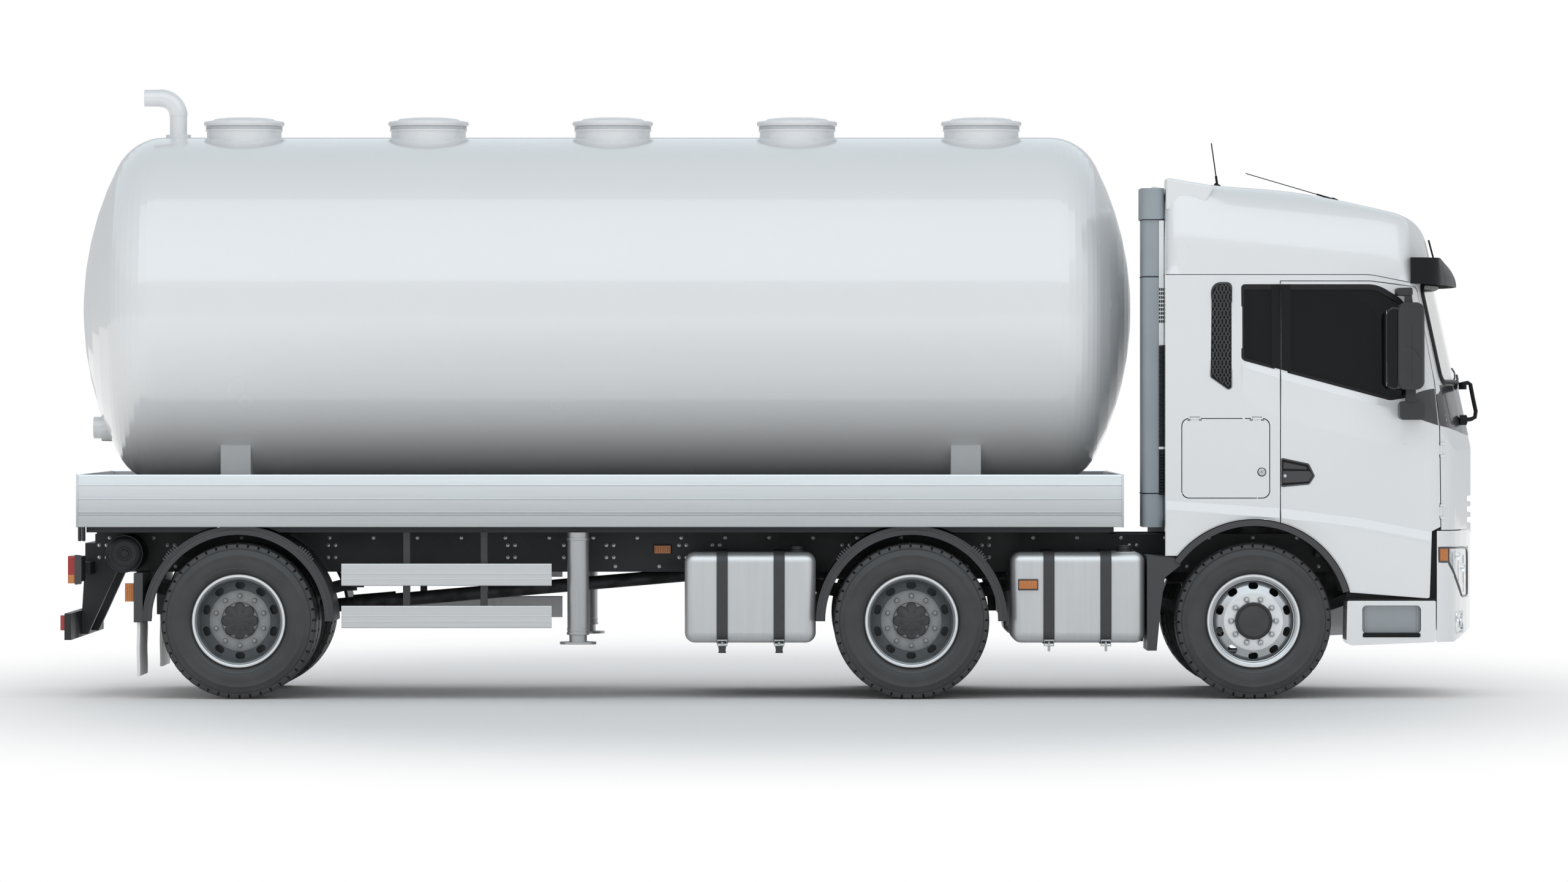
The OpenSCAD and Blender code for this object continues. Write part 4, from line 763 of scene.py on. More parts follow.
def belt(first, last):
    """Place and lift of the belt bevel between two ends."""
    def place(u, v):
        x = first + (last - first) * u
        drop = belt_drop * v / bevel if v < bevel else belt_drop + belt_run * past_bevel(v)
        return x, height_on(belt_line, x) - belt_gap - drop

    def lift(u, v):
        rise = edge_lift + belt_rise * v / bevel
        if v >= bevel:
            rise = (edge_lift + belt_rise) * (1 - past_bevel(v)) ** 1.5
        tail_fade = 1 if first > 0 else 0.35 + 0.65 * u
        nose_fade = 1 if last < 900 else min(1, 5 * (1 - u)) or 0.01
        return max(0.05, rise) * tail_fade * nose_fade
    return place, lift


def crease(first, last, foot):
    """Place and lift of the crease between two ends, down to a foot line."""
    def place(u, v):
        x = first + (last - 13 * v * (first > 0) - first) * u
        top = height_on(crease_line, x)
        band = max(20, min(crease_drop, top - foot(x) - 4))
        return x, top - band * v / bevel if v < bevel else top - band - (top - band - foot(x)) * past_bevel(v)

    def lift(u, v):
        rise = crease_rise * v / bevel if v < bevel else crease_rise - crease_fall * past_bevel(v)
        return edge_lift + rise
    return place, lift


for side, sign in sides.items():
    shell, leaf = Form(), Form()
    draped(shell, *belt(-79, 162), sign, 12, 20)
    draped(shell, *crease(-574, 163, rear_foot), sign, 40, 20)
    draped(leaf, *belt(175, 985), sign, 40, 20)
    draped(leaf, *crease(175, 1149, door_foot), sign, 60, 20)
    piece(f"shell_pressings_{side}", "chassis", white_paint, shell, sharp=28)
    piece(f"door_pressings_{side}", f"cab_door_{side}", white_paint, leaf, sharp=28)

# Side windows: tinted glass in black rubber seals, with black covers on the pillar between the two panes so
# that they read as one. The honeycomb vent behind them is moulded plastic.
dark_glass = finish("dark_glass", (2.0,), (0.005, 0.006, 0.006), (0.008, 0.009, 0.009),
                    Roughness=0.03, Alpha=0.90, IOR=1.35)
dress(dark_glass, "door_glass_right", "door_glass_left")
pillar_black = finish("pillar_black", (2.0,), (0.006, 0.007, 0.007), (0.009, 0.010, 0.010),
                      Roughness=0.05, IOR=1.35)
seal_rubber = finish("seal_rubber", (40.0,), (0.008, 0.008, 0.009), (0.012, 0.012, 0.013), (0.2, 0.35), 20.0,
                     IOR=1.35)
vent_plastic = finish("vent_plastic", (300.0,), (0.042, 0.044, 0.047), (0.056, 0.058, 0.061), (0.2, 0.4), 6.0)
screen_from = front_axle + 0.4


def share_of(node, test):
    """The faces of a solid whose middles pass a test, as a form of their own."""
    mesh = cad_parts[node].data
    form = Form()
    for face in mesh.polygons:
        if test(face.center):
            form.add([mesh.vertices[i].co.copy() for i in face.vertices], [range(len(face.vertices))])
    return form


rear_glass = piece("rear_side_glass", "chassis", dark_glass,
                   share_of("fixed_glass", lambda middle: middle.x < screen_from))
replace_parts(rear_glass, "fixed_glass")


def inset(outline, d):
    """An outline drawn in by d, or grown when d is negative."""
    area = sum(a[0] * b[1] - b[0] * a[1] for a, b in zip(outline, outline[1:] + outline[:1]))
    turn = 1 if area > 0 else -1
    moved = []
    for k, point in enumerate(outline):
        here = Vector(point)
        a = (here - Vector(outline[k - 1])).normalized()
        b = (Vector(outline[(k + 1) % len(outline)]) - here).normalized()
        mid = Vector((-a.y - b.y, a.x + b.x)).normalized() * turn
        moved.append(here + mid * d / max(0.5, mid.dot(Vector((-a.y, a.x)) * turn)))
    return moved


def frame_ring(form, outer, inner, front, back, sign):
    """A ring between two outlines on a side of the cab, from front to back millimetres off its face."""
    rows = ((outer, back), (outer, front), (inner, front), (inner, back))
    woven(form, [[at(x, sign * (flank(x, z, sign) + lift), z) for x, z in outline]
                 for outline, lift in rows], True)


def pillar_cover(form, first, width, sign):
    """A thin sheet over the pillar, from the belt line to the window's top."""
    def place(u, v):
        x = first + width * u
        low = height_on(belt_line, x)
        return x, low + 2 + (window_top - 2 - low) * v
    draped(form, place, lambda u, v: 2.8, sign, 2, 12)


def within(outline, x, z):
    """Whether a point lies inside an outline."""
    inside = False
    for a, b in zip(outline, outline[1:] + outline[:1]):
        if (a[1] > z) != (b[1] > z) and x < a[0] + (z - a[1]) * (b[0] - a[0]) / (b[1] - a[1]):
            inside = not inside
    return inside


window_top = 2695
door_pane = rounded(((220, 2125.5, 3), (879, 1946, 60), (1010, 1968, 60), (985, 2560, 110), (790, 2672, 160),
                     (220, 2672, 3)), 8)
door_surround = rounded(((214, 2120, 3), (879, 1940, 60), (1017, 1962, 60), (994, 2578, 150),
                         (800, window_top, 230), (214, window_top, 3)), 8)
rear_pane = rounded(((-79, 2207, 30), (125, 2151.4, 3), (125, 2672, 3), (-79, 2672, 20)))
rear_surround = rounded(((-85, 2203, 34), (131, 2144, 3), (131, window_top, 3), (-85, window_top, 24)))
pillar_gap = ((164.0, 2144), (171.2, 2142), (171.2, 2692), (164.0, 2692))
vent_edge = rounded(((-285, 2093, 20), (-148, 1996, 20), (-148, 2705, 30), (-276, 2705, 60)))
cell_pitch, cell_half, cell_rise, cell_steps = 24, 6.5, 13.4, 56
for side, sign in sides.items():
    door = f"cab_door_{side}"
    leaf, shell, vent, cover, post, back = Form(), Form(), Form(), Form(), Form(), Form()
    frame_ring(leaf, door_surround, inset(door_pane, 13), 2.5, -16, sign)
    pillar_cover(cover, 173, 62, sign)
    frame_ring(shell, rear_surround, inset(rear_pane, 13), 2.5, -16, sign)
    pillar_cover(post, 109, 56, sign)
    prism(post, pillar_gap, sign * 1226, sign * 1247.6)
    piece(f"door_pillar_cover_{side}", door, pillar_black, cover)
    piece(f"rear_pillar_cover_{side}", "chassis", pillar_black, post)
    piece(f"door_window_seal_{side}", door, seal_rubber, leaf)
    piece(f"rear_window_seal_{side}", "chassis", seal_rubber, shell)
    prism(back, inset(vent_edge, 1), sign * 1221.5, sign * 1224)
    piece(f"vent_back_{side}", "chassis", pillar_black, back)
    frame_ring(vent, inset(vent_edge, -4), inset(vent_edge, 9), 4, 0, sign)
    mesh_edge = inset(vent_edge, 4)
    for column in range(8):
        for half in (-1, 1):
            run = []
            for k in range(cell_steps + 1):
                swing = cell_half if k % 4 in (0, 1) else -cell_half
                x = -296 + column * cell_pitch + half * swing + 6 * (half > 0)
                z = 1990 + cell_rise * k
                if k < cell_steps and within(mesh_edge, x, z):
                    run.append(at(x, sign * 1241.5, z))
                    continue
                if len(run) > 1:
                    pipe(vent, run, 0.0040, 6)
                run = []
    piece(f"side_vent_{side}", "chassis", vent_plastic, vent)

# Door handle, locks and dark flank panels: glossy dark mouldings let into the doors, with bright lock barrels
# in the handle and the locker lid. The panel carries on round the front under the windscreen.
gloss_grey = finish("gloss_grey", (3.0,), (0.042, 0.044, 0.048), (0.052, 0.054, 0.058), (0.12, 0.22), 8.0,
                    Coat_Weight=0.5, Coat_Roughness=0.08)
handle_edge = rounded(((178, 1386, 6), (352, 1402, 12), (384, 1451, 12), (348, 1524, 12), (178, 1560, 6)))
grip_edge = rounded(((181, 1402, 5), (352, 1412, 8), (381, 1450, 6), (362, 1482, 8), (181, 1482, 5)))
thumb_edge = rounded(((186, 1496, 5), (350, 1492, 8), (336, 1512, 8), (186, 1544, 6)))
bezel_outer, bezel_inner = inset(handle_edge, -8), inset(handle_edge, 2)
bezel_rows = ((bezel_outer, 1244), (bezel_outer, 1249), (bezel_inner, 1247), (bezel_inner, 1228))
door_rear = 173
door_barrel = ((0.0105, -0.006), (0.0105, 0.002), (0.008, 0.004), (0.003, 0.004), (0.003, 0.001), (0, 0.001))
lid_barrel = ((0.0235, -0.008), (0.0235, 0.001), (0.020, 0.004), (0.013, 0.0045), (0.012, 0.002),
              (0.004, 0.002), (0.004, 0), (0, 0))
lid_collar = ((0.023, -0.007), (0.029, -0.006), (0.029, -0.004), (0.023, -0.003))


def flank_panel(u, v):
    """Place on the dark panel at the foot of the front pillar, whose top edge bows up."""
    x_low, z_low = 985 + 209 * u, 1846 - 68 * u
    x_top, z_top = 985 + 187 * u, 1950 + 68 * u
    return x_low + (x_top - x_low) * v, z_low + (z_top - z_low) * v + 14 * v * math.sin(math.pi * u)


for side, sign in sides.items():
    door, lid = f"cab_door_{side}", f"locker_lid_{side}"
    out = (0, sign, 0)
    bezel, well, grip, lock, barrel, collar, panel = Form(), Form(), Form(), Form(), Form(), Form(), Form()
    woven(bezel, [[at(max(x, door_rear), sign * y, z) for x, z in outline]
                  for outline, y in bezel_rows], True)
    piece(f"handle_bezel_{side}", door, gloss_grey, bezel, 0.001)
    prism(well, inset(handle_edge, 1), sign * 1227.2, sign * 1229)
    piece(f"handle_well_{side}", door, seal_rubber, well)
    prism(grip, grip_edge, sign * 1224, sign * 1242.5)
    prism(grip, thumb_edge, sign * 1224, sign * 1236)
    piece(f"handle_grip_{side}", door, vent_plastic, grip, 0.004)
    turned(lock, door_barrel, at(199, sign * 1244, 1450), out, 24)
    piece(f"door_lock_{side}", door, zinc, lock)
    turned(barrel, lid_barrel, at(48, sign * 1251, 1476), out, 32)
    piece(f"locker_lock_{side}", lid, zinc, barrel)
    turned(collar, lid_collar, at(48, sign * 1251, 1476), out, 32)
    piece(f"lock_collar_{side}", lid, seal_rubber, collar)
    draped(panel, flank_panel, lambda u, v: 2.0, sign, 16, 10)
    piece(f"door_panel_{side}", door, gloss_grey, panel, 0.001)

cab_heart = 700


def round_front(turn, z, lift):
    """A point on the cab's front or corner, at a plan angle from straight ahead and lift off the face."""
    a = math.radians(turn)
    out = Vector((math.cos(a), math.sin(a), 0))
    hit, normal = cab_skin.ray_cast(at(cab_heart, 0, z) + 2.2 * out, -out, 2.0)[:2]
    if hit is None:
        hit = at(cab_heart, 0, z) + out * (flank_face / 1000 / abs(out.y))
        normal = Vector((0, out.y, 0))
    normal.z = 0
    return hit + normal.normalized() * lift / 1000


def wrapped(form, place, lift, across=60, up=8, sink=3.0):
    """A closed sheet round the cab's front; place gives an angle and a height for shares of its sides."""
    places = [place(u, v) for u, v in shares(across, up)]
    outer = [round_front(*spot, lift) for spot in places]
    inner = [round_front(*spot, -sink) for spot in places]
    sheet(form, outer, inner, across, up)


def turn_at(x, z):
    """The plan angle at which the cab's corner lies x millimetres ahead of the front axle."""
    near, far = 30.0, 84.0
    for _ in range(18):
        mid = (near + far) / 2
        near, far = (mid, far) if round_front(mid, z, 0).x > at(x, 0, 0).x else (near, mid)
    return (near + far) / 2


def mask(u, v):
    """Angle and height on the dark panel under the windscreen, which meets the doors' panels at its ends."""
    swing = 2 * u - 1
    low = 1706 + 70 * abs(swing) ** 4
    z = low + (2040 - low) * v
    return turn_at(1208 - 34 * max(0.0, (z - 1767) / 287), z) * swing, z


front_mask = Form()
wrapped(front_mask, mask, 2.5)
piece("front_mask", "chassis", gloss_grey, front_mask, 0.001)

# Roof cap: a moulded white shell bonded to the cab, its edges swept round in one soft curve over the solid
# cap's facets. Two fins stand at its rear corners.
roof_form = skin("roof_cap")
roof_heart = at(250, 0, 2650)


def toward(turn, rise):
    """Direction at a plan angle and a rise, both in degrees."""
    a, b = math.radians(turn), math.radians(rise)
    return Vector((math.cos(b) * math.cos(a), math.cos(b) * math.sin(a), math.sin(b)))


def roof_reach(turn, rise):
    """How far the roof lies from its heart inside the cab, in one direction."""
    out = toward(turn, rise)
    hit = roof_form.ray_cast(roof_heart + 3 * out, -out, 2.4)[0]
    return (hit - roof_heart).length if hit else None


slices, rings = 240, 48
rises, reach = [], []
for k in range(slices):
    turn = 360 * k / slices
    low, high = 0.5, 14.0
    for _ in range(12):
        mid = (low + high) / 2
        low, high = (low, mid) if roof_reach(turn, mid) else (mid, high)
    rises.append([high + 0.05 + (90 - high) * (j / rings) ** 1.1 for j in range(rings)])
    reach.append([roof_reach(turn, rise) for rise in rises[-1]])
for k in range(slices):
    reach[k] = [r or reach[k - 1][j] or 1.0 for j, r in enumerate(reach[k])]
for _ in range(9):
    before = [list(row) for row in reach]
    for k in range(slices):
        for j in range(1, rings):
            beside = before[k - 1][j] + before[(k + 1) % slices][j]
            beside += before[k][j - 1] + before[k][min(j + 1, rings - 1)]
            reach[k][j] = 0.5 * before[k][j] + 0.125 * beside
dome = Form()
woven(dome, [[roof_heart + reach[k][j] * toward(360 * k / slices, rises[k][j]) for k in range(slices)]
             for j in range(rings)])
fan(dome, slices, roof_heart + Vector((0, 0, sum(row[-1] for row in reach) / slices)))
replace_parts(piece("roof_shell", "chassis", white_paint, dome, sharp=70), "roof_cap")
fin_edge = rounded(((-570, 3180, 0), (-340, 3180, 0), (-248, 3336, 20), (-570, 3390, 20)))
fins = Form()
for sign in sides.values():
    prism(fins, fin_edge, sign * 905, sign * 1135)
piece("roof_fins", "chassis", white_paint, fins, 0.014, rounds=3)

# Aerials and sun visor: thin steel whips in moulded feet, two on the roof and a short one by the visor. The
# visor is a black moulded hood over the windscreen, its front swept back toward the top.
black_plastic, spot = start("black_plastic", IOR=1.25)
mould = spot.noise(500.0, 2.0)
shade(black_plastic, Base_Color=mould.between((0.009, 0.010, 0.011), (0.013, 0.014, 0.015)),
      Roughness=spot.noise(4.0).step(0.3, 0.7, 0.32, 0.44), Normal=mould.bump(0.0003, 0.3))
dress(black_plastic, "sun_visor", "antennas", "dashboard")
aerial_y = -300


def roof_top(x):
    """Height of the roof at x, on the line where the aerials stand."""
    return 1000 * roof_form.ray_cast(at(x, aerial_y, 4300), Vector((0, 0, -1)))[0].z


# Each row: a whip's root and its height over the roof, its tip, its radius, and the ends of its moulded foot
whips = (
    (-190, 30, (-228, 3640), 0.004, -240, -140),
    (585, 24, (0, 3440), 0.003, 560, 664),
)
visor_whip = ((1246, 2846), (1237, 2890), (1208, 3000))
whip_socket = ((0.020, -0.012), (0.020, 0.006), (0.012, 0.016), (0.007, 0.03))
aerials = Form()
for foot, lift, (x, z), thick, heel, toe in whips:
    top = roof_top(foot)
    root = at(foot, aerial_y, top + lift)
    tip = at(x, aerial_y, z)
    pipe(aerials, [root, root.lerp(tip, 0.2)], 2 * thick, 8)
    pipe(aerials, [root, tip], thick, 8)
    wedge = [(x, roof_top(x) - 15) for x in (heel, toe)] + [(foot + 18, top + 26), (foot - 12, top + 38)]
    prism(aerials, wedge, aerial_y - 20, aerial_y + 20)
pipe(aerials, [at(x, aerial_y, z) for x, z in visor_whip], 0.006, 8)
turned(aerials, whip_socket, at(1246, aerial_y, 2852), (0, 0, 1), 20)
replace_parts(piece("aerials", "chassis", black_plastic, aerials), "antennas")
visor_low, visor_tall, visor_back = 2.686, 0.184, at(1205, 0, 0).x
longest_edge = 0.035
hood = bmesh.new()
hood.from_mesh(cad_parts["sun_visor"].data)
bmesh.ops.remove_doubles(hood, verts=hood.verts, dist=0.0002)
for _ in range(4):
    long_edges = [edge for edge in hood.edges if edge.calc_length() > longest_edge]
    bmesh.ops.subdivide_edges(hood, edges=long_edges, cuts=1)
    bmesh.ops.triangulate(hood, faces=hood.faces)
bmesh.ops.dissolve_degenerate(hood, edges=hood.edges, dist=0.00001)
bmesh.ops.triangulate(hood, faces=hood.faces)
hood.verts.index_update()
for point in hood.verts:
    rise = min(1.0, max(0.0, (point.co.z - visor_low) / visor_tall))
    point.co.x -= max(0.0, point.co.x - visor_back) * 0.62 * rise ** 2.2
visor = Form([v.co.copy() for v in hood.verts], [tuple(v.index for v in face.verts) for face in hood.faces])
hood.free()
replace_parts(piece("visor_hood", "chassis", black_plastic, visor, sharp=40), "sun_visor")

# Windscreen and its surround: laminated glass bonded into a black seal, with two wipers at its foot and a
# mirror bracket on the front corner. A thin seal also closes the seam under the roof cap.


def ahead(y, z, lift):
    """A point on the cab's front face seen from straight ahead, lift millimetres off it."""
    ray = at(2300, y, z), Vector((-1, 0, 0)), 1.9
    hits = [hit for hit in (cab_skin.ray_cast(*ray), glass_skin.ray_cast(*ray)) if hit[0]]
    hit, normal = max(hits, key=lambda found: found[0].x)[:2]
    return hit + normal * lift / 1000


def drawn(rows, length):
    """Points along a closed line, no more than about a length apart."""
    line = []
    for a, b in zip(rows, rows[1:] + rows[:1]):
        steps = max(1, int((b - a).length / length))
        line += [a.lerp(b, k / steps) for k in range(steps)]
    return line


clear_glass = finish("clear_glass", (1.0,), (0.34, 0.38, 0.37), (0.38, 0.42, 0.41),
                     Roughness=0.03, Alpha=0.13)
piece("windscreen", "chassis", clear_glass,
      share_of("fixed_glass", lambda middle: middle.x > screen_from))
screen_seal, roof_seal, wipers, bracket = Form(), Form(), Form(), Form()
screen_edge = drawn(oblong(-1104, 2056, 1104, 2687, 72, steps=8), 60)
pipe(screen_seal, [ahead(y, z, -3) for y, z in screen_edge], 0.022, 8, True)
piece("screen_seal", "chassis", seal_rubber, screen_seal)
roof_seam = [(x, 2757) for x in range(-576, 761, 48)] + [(760 + 15 * k, 2757 - 3 * k) for k in range(1, 21)]
for sign in sides.values():
    pipe(roof_seal, [at(x, sign * (flank(x, z - 1, sign) - 1.0), z) for x, z in roof_seam], 0.0026, 6)
piece("roof_seal", "chassis", seal_rubber, roof_seal)
wiper_pivot = ((0.026, -0.01), (0.026, 0.012), (0.018, 0.02), (0, 0.021))
wiper_arm = ((0.0, 2036, 12), (0.2, 2072, 30), (0.55, 2100, 26))
for foot, tip in ((-620, 40), (560, 1010)):
    pipe(wipers, [ahead(foot + (tip - foot) * share, z, lift) for share, z, lift in wiper_arm], 0.008, 8)
    blade = [(foot + (tip - foot) * (0.1 + 0.08 * k), 2078 + 7 * k) for k in range(11)]
    pipe(wipers, [ahead(y, z, 15) for y, z in blade], 0.006, 6)
    turned(wipers, wiper_pivot, ahead(foot, 2036, 0), (1, 0, 0), 20)
piece("wipers", "chassis", black_plastic, wipers)
bracket_tube = ((1402, 1812), (1446, 1818), (1470, 1830), (1476, 1868), (1456, 1962), (1440, 2046),
                (1424, 2056), (1378, 2046))
bracket_foot = ((0.034, -0.03), (0.034, 0.012), (0.024, 0.018), (0, 0.018))
pipe(bracket, [at(x, -800, z) for x, z in bracket_tube], 0.014)
block(bracket, (1376, -1000, 2012), (1398, -640, 2058))
turned(bracket, bracket_foot, at(1402, -800, 1812), (1, 0, 0), 20)
piece("front_mirror", "chassis", black_plastic, bracket, 0.004)

# Door mirrors: grey moulded housings with a black rim round the silvered glass, on two arms from the door.
# Fine folds in the moulding part the housing's shells.
mirror_grey, spot = start("mirror_grey")
shade(mirror_grey, Base_Color=spot.noise(400.0).between((0.025, 0.026, 0.028), (0.031, 0.032, 0.034)),
      Roughness=spot.noise(5.0).step(0.3, 0.7, 0.34, 0.44), Normal=spot.noise(500.0).bump(0.0003, 0.3))
dress(mirror_grey, "mirror_right", "mirror_left")
silvering = finish("silvering", (3.0,), (0.80, 0.82, 0.83), (0.86, 0.87, 0.88), Metallic=1.0, Roughness=0.03)
mirror_folds = (
    ((958, 2292), (1000, 2286), (1030, 2258), (1078, 2190)),
    ((925, 2546), (1000, 2550), (1070, 2546)),
    ((1000, 2060), (1000, 2500)),
)
mirror_arms = (
    (rounded(((958, 2556, 6), (1016, 2556, 6), (1004, 2640, 8), (966, 2640, 8))), 1378, 1426),
    (rounded(((912, 2618, 14), (1014, 2618, 14), (1010, 2672, 14), (905, 2668, 14))), 1250, 1430),
    (rounded(((966, 1930, 4), (1036, 1930, 4), (1032, 2016, 4), (970, 2016, 4))), 1372, 1432),
)
for side, sign in sides.items():
    door = f"cab_door_{side}"
    rim, pane, fold, arm = Form(), Form(), Form(), Form()
    prism(rim, oblong(836.5, 2014, 913, 2542, 46, 20, 20, 46), sign * 1336, sign * 1530)
    prism(pane, oblong(sign * 1350, 2032, sign * 1516, 2524, 30), 836.1, 837.5, "x")
    housing = skin(f"mirror_{side}")
    for rows in mirror_folds:
        line = [Vector(a).lerp(Vector(b), k / 6) for a, b in zip(rows, rows[1:]) for k in range(6)]
        hits = [housing.ray_cast(at(x, sign * 1900, z), Vector((0, -sign, 0)))[0] for x, z in line]
        pipe(fold, [hit for hit in hits if hit], 0.003, 6)
    for outline, inner, outer in mirror_arms:
        prism(arm, outline, sign * inner, sign * outer)
    piece(f"mirror_arm_{side}", door, mirror_grey, arm, 0.008, rounds=3)
    piece(f"mirror_rim_{side}", door, pillar_black, rim, 0.012, rounds=4)
    piece(f"mirror_pane_{side}", door, silvering, pane)
    piece(f"mirror_fold_{side}", door, mirror_grey, fold)

# Headlamps: clear lenses over bright ribbed reflectors in a dark surround, with an amber indicator at the
# corner. Two fog lamps sit in the bumper below, ringed with bright trim.
clear_lens, spot = start("clear_lens", Roughness=0.08, Coat_Weight=1.0, Metallic=0.3)
facets = spot.noise(26.0, 1.0, (1, 1, 0.4)).step(0.38, 0.62)
shade(clear_lens, Base_Color=facets.between((0.42, 0.45, 0.47), (0.80, 0.82, 0.84)),
      Normal=facets.bump(0.002, 0.5))
dress(clear_lens, "headlamps")
lamp_top = ((1200, 984), (1262, 984), (1330, 982), (1392, 978))
lamp_front = ((46, 972), (43.6, 950), (43, 900), (43, 700), (43.6, 668), (46, 661))
lamp_foot = ((1392, 661), (1368, 670), (1320, 780), (1264, 892), (1200, 893))
lamp_edge = [(turn_at(x, z), z) for x, z in lamp_top] + list(lamp_front)
lamp_edge += [(turn_at(x, z), z) for x, z in lamp_foot]
lamp_line = [Vector(a).lerp(Vector(b), k / 5)
             for a, b in zip(lamp_edge, lamp_edge[1:] + lamp_edge[:1]) for k in range(5)]
lamp_bowl = ((0.034, -0.004), (0.034, 0.004), (0.027, 0.007), (0.022, 0.003), (0, 0.001))
fog_bowl = ((0.036, -0.006), (0.036, 0.004), (0.030, 0.007), (0.024, 0.002), (0, 0.000))
fog_edge = oblong(896, 426, 1094, 560, 24, steps=4)


def on_corner(sign, x, z, lift):
    """A point on a front corner of the cab, x millimetres ahead of the front axle and lift off the face."""
    return round_front(sign * turn_at(x, z), z, lift)


def corner_lens(sign):
    """Place of the indicator on one corner."""
    def place(u, v):
        x, z = 1204 + 56 * u, 896 + 86 * v
        return sign * turn_at(x, z), z
    return place


for side, sign in sides.items():
    surround, indicator, chrome, fog = Form(), Form(), Form(), Form()
    pipe(surround, [round_front(sign * turn, z, 1) for turn, z in lamp_line], 0.008, 8, True)
    pipe(surround, [on_corner(sign, 1264, z, 1) for z in range(896, 985, 8)], 0.008, 8)
    piece(f"headlamp_surround_{side}", "chassis", gloss_grey, surround)
    wrapped(indicator, corner_lens(sign), 4, 8, 6)
    for x in range(1208, 1257, 12):
        pipe(indicator, [on_corner(sign, x, z, 4.5) for z in (900, 940, 978)], 0.003, 6)
    piece(f"indicator_{side}", "chassis", amber_lens, indicator, 0.001)
    for x, low, high in ((1298, 850, 965), (1345, 760, 958), (1392, 690, 940)):
        pipe(chrome, [on_corner(sign, x, z, 2) for z in range(low, high, 12)], 0.006, 8)
    for x, z in ((1322, 930), (1365, 850)):
        turned(chrome, lamp_bowl, on_corner(sign, x, z, 0), (0.5, sign * 0.866, 0), 24)
    piece(f"headlamp_chrome_{side}", "chassis", silvering, chrome)
    pipe(fog, [ahead(sign * y, z, 1) for y, z in fog_edge], 0.008, 8, True)
    for y in (950, 1040):
        turned(fog, fog_bowl, ahead(sign * y, 493, 0), (1, 0, 0), 24)
    piece(f"fog_lamp_{side}", "chassis", silvering, fog)

# Grille and bumper: the white front panel and bumper are slotted for cooling air. Black moulded liners,
# clipped in from behind, close the view through the slots.
backs = Form()
block(backs, (1408, -330, 520), (1422, 330, 984))
for z in (1130, 1200, 1270):
    face = [ahead(y, z - 8, 0) for y in range(-699, 700, 93)]
    liner = [(1000 * (p.x - front_axle) - depth, 1000 * p.y)
             for depth, row in ((44, face), (52, face[::-1])) for p in row]
    prism(backs, liner, z + 1, z + 43, "z")
piece("grille_backs", "chassis", black_plastic, backs, 0.002)

# Steps and sills: a painted step box whose well is coloured blue-grey as painted shade, with a dark ribbed
# tread, and black pieces in the gap round the door's lower edge that are painted shade in that gap.
# The well's blue-grey colour is painted shade in the step's recess.
painted_well_shade = finish("painted_well_shade", (2.0,), (0.30, 0.33, 0.35), (0.36, 0.39, 0.41), (0.15, 0.35), 9.0)
sill_gap = ((600, 636), (600, 706), (1140, 672), (1152, 1098), (1192, 1112), (1184, 660), (1180, 636))
sill_strip = ((606, 641), (606, 654), (1182, 654), (1182, 641))
for side, sign in sides.items():
    wells, treads, gap_shades = Form(), Form(), Form()
    prism(wells, oblong(702, 428, 1080, 640, 28, 28, 0, 0), sign * 1186, sign * 1196)
    for x in (722, 1060):
        prism(wells, oblong(x - 5, 432, x + 5, 608, 0), sign * 1194, sign * 1206)
    prism(treads, oblong(704, 403, 1078, 431, 8), sign * 1150, sign * 1244.5)
    for x in range(720, 1070, 14):
        pipe(treads, [at(x, sign * y, 431) for y in (1156, 1242)], 0.003, 6)
    # Black pieces behind the door's lower edge fill its gap with painted shade.
    prism(gap_shades, sill_gap, sign * 1140, sign * 1180)
    prism(gap_shades, sill_strip, sign * 1150, sign * 1236)
    piece(f"step_well_{side}", "chassis", painted_well_shade, wells, 0.002)
    piece(f"step_tread_{side}", "chassis", black_plastic, treads, 0.001)
    piece(f"sill_gap_shade_{side}", "chassis", seal_rubber, gap_shades, 0.001)

# Air intake behind the cab: a grey-blue moulded duct in three lengths, with a louvre and ribbed rubber
# bellows beside it on the cab's rear edge, and a stack of coiled lines below them.
duct_grey = finish("duct_grey", (5.0,), (0.28, 0.32, 0.35), (0.33, 0.37, 0.40), (0.2, 0.4), 8.0)
dress(duct_grey, "air_intake")
joints, strip, bellows = Form(), Form(), Form()
for z in (1335, 2746, 3118):
    duct_edge = oblong(-718, -1080, -579, -660, 45, 10, 10, 45)
    pipe(joints, [at(x, y, z) for x, y in duct_edge], 0.004, 6, True)
piece("duct_joints", "chassis", seal_rubber, joints)
for low, high in ((2300, 3112), (1622, 1640)):
    block(strip, (-613, -1092, low), (-580, -1078, high))
piece("duct_strip", "chassis", white_paint, strip, 0.003)
for z in range(1640, 2296, 16):
    block(bellows, (-612, -1094 - 4 * (z // 16 % 2), z), (-581, -1078, z + 12))
for z in range(2446, 2655, 26):
    for x in (-608, -597, -586):
        block(bellows, (x - 4, -1095, z), (x + 4, -1090, z + 18))
for z in range(1334, 1614, 20):
    pipe(bellows, [at(-606, -1086, z), at(-596, -1098, z), at(-584, -1098, z)], 0.008, 8)
block(bellows, (-612, -1088, 1326), (-581, -1078, 1620))
piece("cab_bellows", "chassis", seal_rubber, bellows, 0.002)

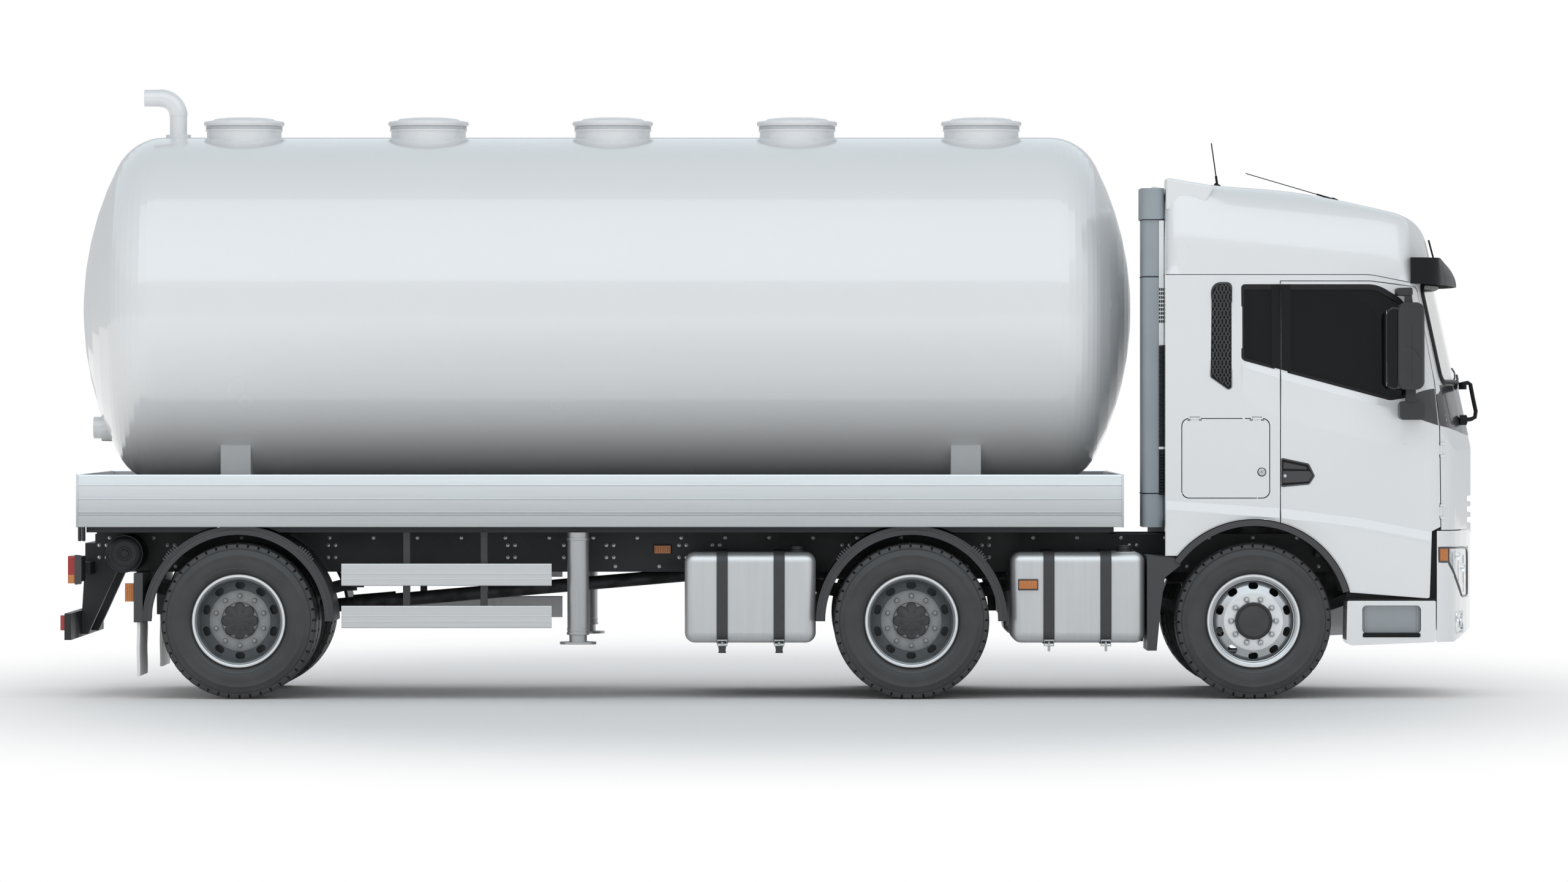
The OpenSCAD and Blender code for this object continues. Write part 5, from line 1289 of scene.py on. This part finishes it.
# Seats: foam cushions in grey woven cloth, crowned and drawn in at two sewn seams, on black moulded pedestals
# bolted to the cab floor. The head pads stand on two steel stalks.
cloth, spot = start("seat_cloth")
weave = spot.noise(900.0, 2.0)
shade(cloth, Base_Color=weave.between((0.050, 0.052, 0.056), (0.085, 0.088, 0.092)),
      Roughness=weave * 0.2 + 0.75, Normal=weave.bump(0.0006, 0.6))


def bent(value, power):
    """A sine's or cosine's value pushed outward, which squares a round form."""
    return math.copysign(abs(value) ** power, value)


def pillow(form, middle, half, lean=0.0, seams=()):
    """A crowned cushion with rounded edges; seams are shares of its width where the cloth is drawn in."""
    tilt = Matrix.Rotation(math.radians(lean), 3, "Y")
    thin = min(range(3), key=lambda n: half[n])
    rows, turns = 28, 64
    round_edge, square_plan, crown = 0.45, 0.42, 0.60
    seam_depth, seam_width = 0.10, 0.035
    layers = []
    for i in range(rows + 1):
        a = -math.pi / 2 + math.pi * i / rows
        layer = []
        for j in range(turns):
            b = 2 * math.pi * j / turns
            spread = bent(math.cos(a), round_edge)
            point = Vector((half[0] * spread * bent(math.cos(b), square_plan),
                            half[1] * spread * bent(math.sin(b), square_plan),
                            half[2] * bent(math.sin(a), crown)))
            near_seams = [(point.y / half[1] - seam) / seam_width for seam in seams]
            point[thin] *= 1 - seam_depth * sum(math.exp(-away ** 2) for away in near_seams)
            layer.append(at(*middle) + tilt @ point / 1000)
        layers.append(layer)
    woven(form, layers)


seat_y = 560
foam, pedestals = Form(), Form()
for sign in sides.values():
    pillow(foam, (360, sign * seat_y, 1586), (286, 246, 72), -3, (-0.55, 0.55))
    pillow(foam, (112, sign * seat_y, 1858), (62, 240, 262), -15, (-0.55, 0.55))
    pillow(foam, (14, sign * seat_y, 2176), (42, 140, 74), -15)
    near, far = sorted((sign * (seat_y - 180), sign * (seat_y + 180)))
    block(pedestals, (150, near, 1206), (560, far, 1290))
    block(pedestals, (190, near + 30, 1280), (520, far - 30, 1524))
    for dy in (-60, 60):
        pipe(pedestals, [at(36, sign * seat_y + dy, 2080), at(22, sign * seat_y + dy, 2150)], 0.008, 8)
cushions = piece("seat_cushions", "chassis", cloth, foam, sharp=60)
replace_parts(cushions, "seats")
piece("seat_pedestals", "chassis", black_plastic, pedestals, 0.012, rounds=3)
